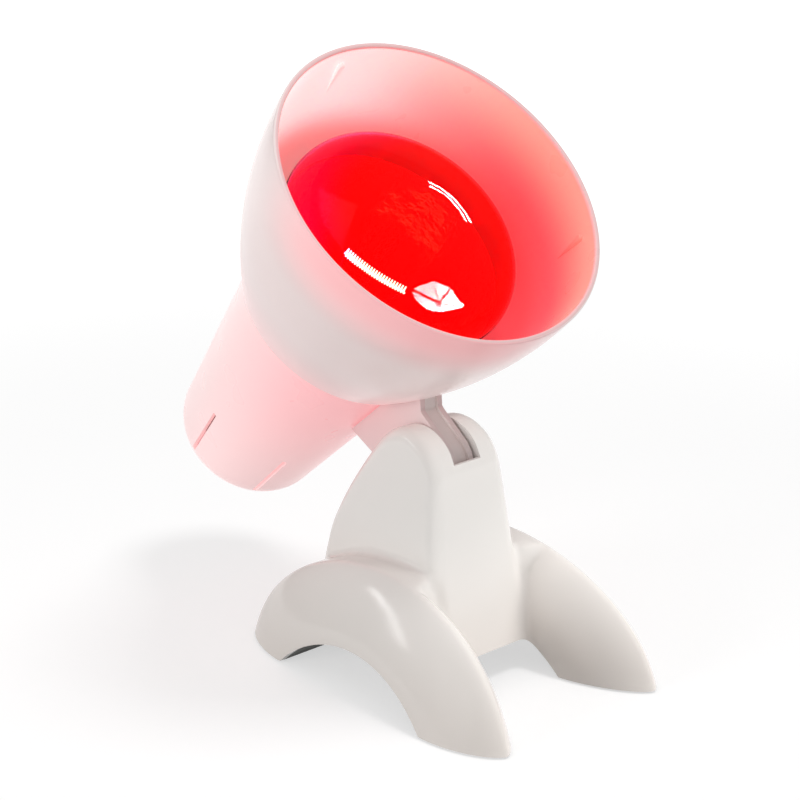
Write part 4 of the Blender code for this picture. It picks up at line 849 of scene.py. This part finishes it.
def build_stand():
    """The outer form with its hollow, the tunnel under the legs, the tilt slot and the holes cut out."""
    outer = stand_outer()
    cavity = stand_cavity()
    ground = stand_box("ground", (-FAR, -FAR, -FAR), (FAR, FAR, FOOT_LIFT))
    tunnel_end = RIDGE_X + 2 * LEG_HALF_WIDTH
    tunnel = rod_object(
        "tunnel", TUNNEL_RADIUS, (-tunnel_end, STAND_CENTRE_Y, TUNNEL_CENTRE_Z),
        (tunnel_end, STAND_CENTRE_Y, TUNNEL_CENTRE_Z), TUNNEL_STEPS,
    )
    rear_arch = stand_box(
        "rear_arch", (-REAR_ARCH_HALF_WIDTH, REAR_ARCH_START, -OVERRUN),
        (REAR_ARCH_HALF_WIDTH, FAR, REAR_ARCH_HEIGHT),
    )
    outer = boolean(outer, "DIFFERENCE", cavity, ground, tunnel, rear_arch)
    slot = stand_box(
        "slot", (-SLOT_HALF_WIDTH, -FAR, SLOT_FRONT_Z), (SLOT_HALF_WIDTH, FAR, TOWER_HEIGHT + OVERRUN)
    )
    pocket_front = PIVOT[1] - STAND_CENTRE_Y - LUG_RADIUS - POCKET_CLEARANCE
    pocket = stand_box(
        "pocket", (-SLOT_HALF_WIDTH, pocket_front, SLOT_FLOOR_Z),
        (SLOT_HALF_WIDTH, FAR, SLOT_FRONT_Z + OVERRUN),
    )
    hole_end = CHEEK_OUT + OVERRUN / 2
    bolt_hole = rod_object(
        "bolt_hole", BOLT_HOLE_RADIUS, (-hole_end, PIVOT[1], PIVOT[2]), (hole_end, PIVOT[1], PIVOT[2])
    )
    high = COVER_TOP_Z + COVER_SCREW_LENGTH
    pilots = [
        rod_object(f"cover_pilot_{n}", COVER_PILOT_RADIUS, (x, y, 0.0), (x, y, high), PILOT_STEPS)
        for n, (x, y) in enumerate(cover_screw_places())
    ]
    outer = boolean(outer, "DIFFERENCE", slot, pocket, bolt_hole, *pilots)
    outer.data.materials.clear()
    outer.data.materials.append(STAND)
    smooth(outer, STAND_CREASE)
    hand_over(outer, "stand_shell", "stand")
    return outer


# Shade

def shade_radius(height):
    """Outer radius of the shade at a height along the lamp axis."""
    u = (height - SEAM_Z) / SHADE_LENGTH
    return (SHADE_REAR_RADIUS * (1 - u) * (1 - 2 * u) + SHADE_MIDDLE_RADIUS * 4 * u * (1 - u)
            + RIM_RADIUS * u * (2 * u - 1))


def housing_radius(height):
    share = (HOUSING_FRONT_Z - height) / (HOUSING_LENGTH - HOUSING_REAR_ROUNDING)
    return HOUSING_FRONT_RADIUS + (HOUSING_REAR_RADIUS - HOUSING_FRONT_RADIUS) * share


def build_shade():
    heights = [RIM_Z - SHADE_LENGTH * i / SHADE_HEIGHT_STEPS for i in range(SHADE_HEIGHT_STEPS + 1)]
    outer = [Vector((shade_radius(z), z)) for z in heights]
    inner = [p for p in offset_curve(outer, SHADE_WALL) if SEAM_Z + SHADE_FLANGE_THICKNESS < p.y]
    inner = [p for p in inner if p.y < RIM_Z - RIM_ROUNDING]
    outer = [p for p in outer if p.y < RIM_Z - RIM_ROUNDING]
    rim = []
    centre_out = Vector((shade_radius(RIM_Z) - RIM_ROUNDING, RIM_Z - RIM_ROUNDING))
    centre_in = Vector((shade_radius(RIM_Z) - SHADE_WALL + RIM_ROUNDING, RIM_Z - RIM_ROUNDING))
    for centre, start in ((centre_in, 180), (centre_out, 90)):
        for k in range(RIM_STEPS + 1):
            turn = math.radians(start - 90 * k / RIM_STEPS)
            rim.append(centre + RIM_ROUNDING * Vector((math.cos(turn), math.sin(turn))))
    flange = SEAM_Z + SHADE_FLANGE_THICKNESS
    profile = [*rim, *outer, Vector((SHADE_FLANGE_RADIUS, SEAM_Z)), Vector((SHADE_FLANGE_RADIUS, flange)),
               Vector((inner[-1].x, flange)), *reversed(inner)]
    outside = len(rim) // 2 + 1
    spans = [1 if i < outside else 0 if i < len(rim) + len(outer) else 1 for i in range(len(profile))]
    mesh = spun("shade_bell", profile, SHADE_TURN_STEPS, spans)
    bell = add_object("shade_bell", mesh, LAMP, [SHADE_OUTSIDE, SHADE_INSIDE])
    smooth(bell)
    hand_over(bell, "shade", "head")
    for n in range(LEAF_COUNT):
        hand_over(leaf_lug(n), "shade", "head")


def leaf_lug(n):
    """A leaf-shaped lug inside the shade: round and tallest near the rim, pointed towards the bulb."""
    high = RIM_Z - LEAF_FROM_RIM
    radius = LEAF_WIDTH / 2
    turns = [math.pi * k / LEAF_ARC_STEPS for k in range(LEAF_ARC_STEPS + 1)]
    outline = [(radius * math.cos(turn), high - radius + radius * math.sin(turn)) for turn in turns]
    shares = [k / LEAF_SIDE_STEPS for k in range(1, LEAF_SIDE_STEPS + 1)]
    sides = [(radius * (1 - share) ** LEAF_TAPER, high - radius - (LEAF_LENGTH - radius) * share)
             for share in shares]
    outline += [(-x, z) for x, z in sides]
    outline += reversed(sides[:-1])
    foot = []
    crest = []
    for x, z in outline:
        wall = shade_radius(z) - SHADE_WALL
        share = (z - high + LEAF_LENGTH) / LEAF_LENGTH
        foot.append((x, wall + SHADE_WALL / 4, z))
        crest.append((x, wall - LEAF_HEIGHT * share, z))
    name = f"shade_lug_{n + 1}"
    mesh = mesh_from(name, foot + crest, loft_faces(2, len(outline)))
    place = LAMP @ Matrix.Rotation(-LEAF_TURN - 2 * math.pi * n / LEAF_COUNT, 4, "Z")
    lug = add_object(name, mesh, place, [SHADE_LUGS])
    ease = lug.modifiers.new("ease", "BEVEL")
    ease.width = LEAF_WIDTH / 8
    ease.segments = 2
    fixed(lug)
    smooth(lug)
    return lug


def fin_front():
    """The front edge of the fin, from the shade down to the lug."""
    toe = LUG_RADIUS + FIN_FLARE
    shade_foot = AXIS_ABOVE_PIVOT - shade_radius(toe)
    return smooth_curve([Vector(p) for p in (
        (shade_foot + SHADE_WALL / 2, toe),
        ((FIN_NECK_HEIGHT + shade_foot) / 2, LUG_RADIUS - FIN_NECK_SET_BACK / 2),
        (FIN_NECK_HEIGHT, LUG_RADIUS - FIN_NECK_SET_BACK),
        (FIN_NECK_HEIGHT / 2, LUG_RADIUS - FIN_NECK_SET_BACK / 2),
        (0.0, LUG_RADIUS),
    )], FIN_FRONT_STEPS)


def web_edge(depth):
    """The fin's front edge moved back by a depth, and on round the lug."""
    edge = [(p.x, p.y - depth) for p in fin_front()[:-1]]
    for k in range(WEB_ARC_STEPS + 1):
        turn = WEB_WRAP * k / WEB_ARC_STEPS
        edge.append((-(LUG_RADIUS - depth) * math.sin(turn), (LUG_RADIUS - depth) * math.cos(turn)))
    return edge


def fin_outline():
    """One fin plate in the head's YZ plane: down the front edge, round the lug, and up the rear edge."""
    toe = LUG_RADIUS + FIN_FLARE
    outline = [tuple(p) for p in fin_front()[:-1]]
    knee = Vector((FIN_KNEE_HEIGHT, -FIN_KNEE_BEHIND_PIVOT))
    tangent_turn = math.atan2(knee.y, knee.x) - math.acos(LUG_RADIUS / knee.length)
    end = -3 * math.pi / 2 - tangent_turn
    for i in range(FIN_ARC_STEPS + 1):
        turn = end * i / FIN_ARC_STEPS
        outline.append((LUG_RADIUS * math.sin(turn), LUG_RADIUS * math.cos(turn)))
    outline.append(tuple(knee))
    root = SEAM_Z - FIN_ROOT_BEHIND_SEAM
    outline.append((AXIS_ABOVE_PIVOT - housing_radius(root) - GAP / 2, root))
    outline.append((AXIS_ABOVE_PIVOT - HOUSING_FRONT_RADIUS - GAP / 2, SEAM_Z))
    outline.append((AXIS_ABOVE_PIVOT - SHADE_REAR_RADIUS + SHADE_WALL / 2, SEAM_Z + GAP))
    for k in range(1, FIN_TOP_STEPS):
        height = SEAM_Z + GAP + (toe - SEAM_Z - GAP) * k / FIN_TOP_STEPS
        outline.append((AXIS_ABOVE_PIVOT - shade_radius(height) + SHADE_WALL / 2, height))
    return outline


def build_fin():
    outline = fin_outline()
    fin = prism_object("shade_fin", outline, -FIN_HALF_WIDTH, FIN_PLATE - FIN_HALF_WIDTH, HEAD)
    other = prism_object("fin_other", outline, FIN_HALF_WIDTH - FIN_PLATE, FIN_HALF_WIDTH, HEAD)
    inside = FIN_HALF_WIDTH - FIN_PLATE / 2
    web_outline = [*web_edge(WEB_RECESS), *reversed(web_edge(WEB_RECESS + WEB_THICKNESS))]
    web = prism_object("fin_web", web_outline, -inside, inside, HEAD)
    hub = rod_object("fin_hub", HUB_RADIUS, (-inside, 0.0, 0.0), (inside, 0.0, 0.0), HUB_STEPS, HEAD)
    end = FIN_HALF_WIDTH + OVERRUN
    bore = rod_object("fin_bore", BOLT_HOLE_RADIUS, (-end, 0.0, 0.0), (end, 0.0, 0.0), HUB_STEPS, HEAD)
    fin = boolean(fin, "UNION", other, web, hub)
    fin = boolean(fin, "DIFFERENCE", bore)
    ease = fin.modifiers.new("ease", "BEVEL")
    ease.width = FIN_EDGE
    ease.segments = FIN_EDGE_SEGMENTS
    ease.limit_method = "ANGLE"
    ease.angle_limit = FIN_EDGE_ANGLE
    fixed(fin)
    fin.data.materials.clear()
    fin.data.materials.append(FIN_FINISH)
    fin.data.materials.append(WEB_FINISH)
    for face in fin.data.polygons:
        face.material_index = int(abs(face.center.x) < FIN_HALF_WIDTH - FIN_PLATE + FIN_EDGE / 4)
    smooth(fin)
    hand_over(fin, "shade", "head")


# Rear housing

def rounded_end(radius, height, rounding, steps):
    """The end of a cone's outline, rounded into a flat rear face, from the outside inwards."""
    points = []
    for k in range(1, steps + 1):
        turn = math.pi / 2 * k / steps
        out = radius - rounding + rounding * math.cos(turn)
        points.append((out, height + rounding * (1 - math.sin(turn))))
    return points


def build_housing():
    cone_end = HOUSING_REAR_Z + HOUSING_REAR_ROUNDING
    outer = [(HOUSING_FRONT_RADIUS, HOUSING_FRONT_Z), (HOUSING_REAR_RADIUS, cone_end),
             *rounded_end(HOUSING_REAR_RADIUS, HOUSING_REAR_Z, HOUSING_REAR_ROUNDING,
                           HOUSING_OUTER_STEPS),
             (GLAND_HOLE_RADIUS, HOUSING_REAR_Z)]
    inner_rear = HOUSING_REAR_RADIUS - HOUSING_WALL
    inner_end = rounded_end(inner_rear, HOUSING_REAR_Z + HOUSING_WALL, HOUSING_REAR_ROUNDING - HOUSING_WALL,
                            HOUSING_INNER_STEPS)
    inner = [(HOUSING_FRONT_RADIUS - HOUSING_WALL, HOUSING_FRONT_Z), (inner_rear, cone_end), *inner_end,
             (GLAND_HOLE_RADIUS, HOUSING_REAR_Z + HOUSING_WALL)]
    spans = [0] * (len(outer) - 1) + [1] * (len(inner) + 1)
    mesh = spun("rear_housing_moulding", [*outer, *reversed(inner)], HOUSING_TURN_STEPS, spans)
    shell = add_object("rear_housing_moulding", mesh, LAMP, [HOUSING, HOUSING_INSIDE])
    high = HOUSING_FRONT_Z - VENT_FROM_SEAM
    cutters = []
    for n in range(VENT_COUNT):
        turn = Matrix.Rotation(-VENT_TURN - 2 * math.pi * (n + 0.5) / VENT_COUNT, 4, "Z")
        cutters.append(box_object(
            f"vent_{n}", (-VENT_WIDTH / 2, inner_rear - HOUSING_WALL, high - VENT_LENGTH),
            (VENT_WIDTH / 2, HOUSING_FRONT_RADIUS, high), LAMP @ turn,
        ))
    boolean(shell, "DIFFERENCE", *cutters)
    smooth(shell)
    hand_over(shell, "rear_housing", "head")


# Bulb

def build_bulb():
    shoulder_z = BULB_FACE_Z - BULB_FACE_RISE - BULB_SHOULDER_RADIUS
    flat = BULB_RADIUS - BULB_SHOULDER_RADIUS
    edge = flat + BULB_SHOULDER_RADIUS * math.sin(BULB_FACE_EDGE_TILT)
    face = [Vector((0.0, BULB_FACE_Z))]
    for k in range(1, FACE_STEPS + 1):
        radius = edge * k / FACE_STEPS
        dome = radius ** 2 / edge * math.tan(BULB_FACE_EDGE_TILT) / 2
        face.append(Vector((radius, BULB_FACE_Z - dome)))
    for k in range(1, SHOULDER_STEPS + 1):
        turn = BULB_FACE_EDGE_TILT + (math.pi / 2 - BULB_FACE_EDGE_TILT) * k / SHOULDER_STEPS
        face.append(Vector((flat + BULB_SHOULDER_RADIUS * math.sin(turn),
                            shoulder_z + BULB_SHOULDER_RADIUS * math.cos(turn))))
    back = smooth_curve([
        Vector((r * BULB_RADIUS, shoulder_z + (CAP_TOP_Z - shoulder_z) * share))
        for share, r in bulb_back_shares
    ], BACK_STEPS)
    neck = [Vector((BULB_NECK_RADIUS, CAP_TOP_Z - GAP)), Vector((BULB_NECK_RADIUS, CAP_TOP_Z - NECK_IN_CAP))]
    outside = [*face, *back[1:], *neck]
    inside = offset_curve(outside, BULB_GLASS)
    inside[0] = Vector((0.0, BULB_FACE_Z - BULB_GLASS))
    inside[-1] = Vector((BULB_NECK_RADIUS - BULB_GLASS, CAP_TOP_Z - NECK_IN_CAP))
    profile = [*outside, *reversed(inside)]
    red_until = len(face) + RED_PAST_SHOULDER
    spans = []
    for i in range(len(profile) - 1):
        if i < red_until or i >= len(profile) - 1 - red_until:
            spans.append(0)
        else:
            spans.append(1 if i < len(outside) else 2)
    mesh = spun("bulb_envelope", profile, BULB_TURN_STEPS, spans, closed=False)
    bulb = add_object("bulb_envelope", mesh, LAMP, [RED_GLASS, SILVERED, REFLECTOR])
    smooth(bulb, ROUND_CREASE)
    hand_over(bulb, "bulb_glass", "bulb")
    return bulb


def build_filament():
    """The filament as a wound coil that sags a little between its two lead wires."""
    along = Vector((math.cos(FILAMENT_TURN), math.sin(FILAMENT_TURN), 0.0))
    up = Vector((0.0, 0.0, 1.0))
    across = along.cross(up)
    height = BULB_FACE_Z - FILAMENT_FROM_FACE
    count = COIL_TURNS * COIL_STEPS
    centres = []
    for i in range(count + 1):
        share = 2 * i / count - 1
        turn = 2 * math.pi * COIL_TURNS * i / count
        centre = along * share * FILAMENT_SPAN / 2 + up * (height - FILAMENT_SAG * (1 - share ** 2))
        centres.append(centre + COIL_RADIUS * (across * math.cos(turn) + up * math.sin(turn)))
    points = []
    for i, point in enumerate(centres):
        way = (centres[min(i + 1, count)] - centres[max(i - 1, 0)]).normalized()
        side = way.cross(along).normalized()
        other = way.cross(side)
        for k in range(WIRE_STEPS):
            turn = 2 * math.pi * k / WIRE_STEPS
            points.append(point + COIL_WIRE * (side * math.cos(turn) + other * math.sin(turn)))
    mesh = mesh_from("filament_coil", points, loft_faces(count + 1, WIRE_STEPS))
    coil = add_object("filament_coil", mesh, LAMP, [TUNGSTEN])
    smooth(coil, ROUND_CREASE)
    hand_over(coil, "filament", "bulb")


# Stage, light and camera

def build_floor():
    """A white floor that looks like lit paper: dimmer near the lamp, and white far away."""
    shape = bmesh.new()
    bmesh.ops.create_circle(shape, cap_ends=True, radius=FLOOR_RADIUS, segments=FLOOR_STEPS)
    floor = shape_object("floor", shape)
    s = Shader("white_floor")
    s.set(Base_Color=(0.50, 0.50, 0.50), Roughness=0.9)
    s.surface.inputs["Specular IOR Level"].default_value = 0.1
    path = s.add("ShaderNodeLightPath")
    seen = s.math("MAXIMUM", path.outputs["Is Camera Ray"], s.math(
        "MAXIMUM", path.outputs["Is Glossy Ray"], path.outputs["Is Transmission Ray"]))
    paper = s.ramp(s.off_axis(), FLOOR_NEAR, FLOOR_FAR, FLOOR_NEAR_GLOW, 1.0)
    s.set(Emission_Color=(1.0, 1.0, 1.0), Emission_Strength=s.math("MULTIPLY", seen, paper))
    floor.data.materials.append(s.material)


def build_world():
    """White for the camera and through glass, weaker in mirrors, and weaker still as light."""
    world = bpy.data.worlds.new("studio")
    scene.world = world
    world.use_nodes = True
    tree = world.node_tree
    ground = tree.nodes["Background"]
    ground.inputs["Color"].default_value = (1.0, 1.0, 1.0, 1.0)
    path = tree.nodes.new("ShaderNodeLightPath")
    pick = None
    for ray, strength in (
        ("Is Glossy Ray", WORLD_IN_MIRRORS), ("Is Transmission Ray", 1.0), ("Is Camera Ray", 1.0),
    ):
        before = pick
        pick = tree.nodes.new("ShaderNodeMix")
        tree.links.new(path.outputs[ray], pick.inputs["Factor"])
        pick.inputs["A"].default_value = WORLD_LIGHT
        if before is not None:
            tree.links.new(before.outputs["Result"], pick.inputs["A"])
        pick.inputs["B"].default_value = strength
    tree.links.new(pick.outputs["Result"], ground.inputs["Strength"])


def add_area(name, place, size, power):
    """A square lamp that points at the middle of the object and leaves no mirror image."""
    light = bpy.data.lights.new(name, "AREA")
    light.size = size
    light.energy = power
    lamp = bpy.data.objects.new(name, light)
    scene.collection.objects.link(lamp)
    lamp.location = place
    lamp.rotation_euler = (Vector(LIGHT_TARGET) - Vector(place)).to_track_quat("-Z", "Y").to_euler()
    lamp.visible_glossy = False
    return lamp


def add_reflected(name, points, faces, strength, receivers, fade=None):
    """A glowing sheet that only shows as its mirror image in the receivers."""
    mesh = bpy.data.meshes.new(name)
    mesh.from_pydata([tuple(p) for p in points], [], faces)
    s = Shader(f"{name}_cloth")
    s.set(Base_Color=(0.0, 0.0, 0.0), Emission_Color=(1.0, 1.0, 1.0), Emission_Strength=strength)
    if fade is not None:
        _, _, z = s.axes()
        s.set(Emission_Strength=s.ramp(z, fade[0], fade[1], strength, strength * fade[2]))
    sheet = add_object(name, mesh, finishes=[s.material])
    sheet.visible_camera = False
    sheet.visible_diffuse = False
    sheet.visible_shadow = False
    sheet.visible_transmission = False
    sheet.light_linking.receiver_collection = receivers


def build_umbrella(receivers):
    """A lit umbrella: six panels with dark gaps at the ribs, brighter at the bottom."""
    hub = Vector(umbrella_hub_way)
    corners = [Vector(way) for way in umbrella_corner_ways]
    points = []
    faces = []
    for corner, after in zip(corners, corners[1:] + corners[:1]):
        middle = (hub + corner + after) / 3
        for way in (hub, corner, after):
            drawn_in = way + (middle - way) * UMBRELLA_RIB
            points.append(BULB_VIEWPOINT + STUDIO_DISTANCE * drawn_in.normalized())
        faces.append(tuple(range(len(points) - 3, len(points))))
    low = min(p.z for p in points)
    high = max(p.z for p in points)
    add_reflected("umbrella", points, faces, UMBRELLA_STRENGTH, receivers, (low, high, UMBRELLA_TOP_SHARE))


def bent_strip(viewpoint, ways, width, offset):
    """A strip bent so that it lies along the ways seen from a viewpoint."""
    points = []
    for i, way in enumerate(ways):
        here = Vector(way).normalized()
        along = Vector(ways[min(i + 1, len(ways) - 1)]) - Vector(ways[max(i - 1, 0)])
        across = here.cross(along).normalized()
        for side in (-width / 2, width / 2):
            points.append(viewpoint + STUDIO_DISTANCE * (here + across * (offset + side)).normalized())
    return points, [(2 * i, 2 * i + 1, 2 * i + 3, 2 * i + 2) for i in range(len(ways) - 1)]


def only(piece):
    """A collection for light linking that holds one piece."""
    group = bpy.data.collections.new(f"only_{piece.name}")
    group.objects.link(piece)
    return group


def build_lights(bulb, stand):
    add_area("key_light", KEY_PLACE, KEY_SIZE, KEY_POWER)
    front = add_area("front_light", FRONT_PLACE, FRONT_SIZE, FRONT_POWER)
    front.light_linking.receiver_collection = only(stand)
    add_area("fill_light", FILL_PLACE, FILL_SIZE, FILL_POWER)
    build_umbrella(only(bulb))
    points, faces = bent_strip(BULB_VIEWPOINT, bulb_strip_ways, STRIP_WIDTH, -STRIP_SPACING / 2)
    more_points, more_faces = bent_strip(BULB_VIEWPOINT, bulb_strip_ways, STRIP_WIDTH, STRIP_SPACING / 2)
    faces += [tuple(i + len(points) for i in face) for face in more_faces]
    add_reflected("strip_lamps", points + more_points, faces, STRIP_STRENGTH, only(bulb))
    points, faces = bent_strip(LEG_VIEWPOINT, leg_strip_ways, LEG_STRIP_WIDTH, 0.0)
    add_reflected("leg_strip", points, faces, LEG_STRIP_STRENGTH, only(stand))


def build_camera():
    camera = bpy.data.cameras.new("camera")
    camera.lens = CAMERA_LENS
    camera.sensor_width = CAMERA_SENSOR
    eye = bpy.data.objects.new("camera", camera)
    scene.collection.objects.link(eye)
    back = Vector((
        math.sin(CAMERA_AZIMUTH) * math.cos(CAMERA_ELEVATION),
        -math.cos(CAMERA_AZIMUTH) * math.cos(CAMERA_ELEVATION),
        math.sin(CAMERA_ELEVATION),
    ))
    eye.location = Vector(CAMERA_TARGET) + back * CAMERA_DISTANCE
    eye.rotation_euler = (-back).to_track_quat("-Z", "Y").to_euler()
    scene.camera = eye


dress_cad_nodes()
stand_piece = build_stand()
build_shade()
build_fin()
build_housing()
bulb_piece = build_bulb()
build_filament()
build_floor()
build_world()
build_lights(bulb_piece, stand_piece)
build_camera()
scene.view_settings.view_transform = "Standard"
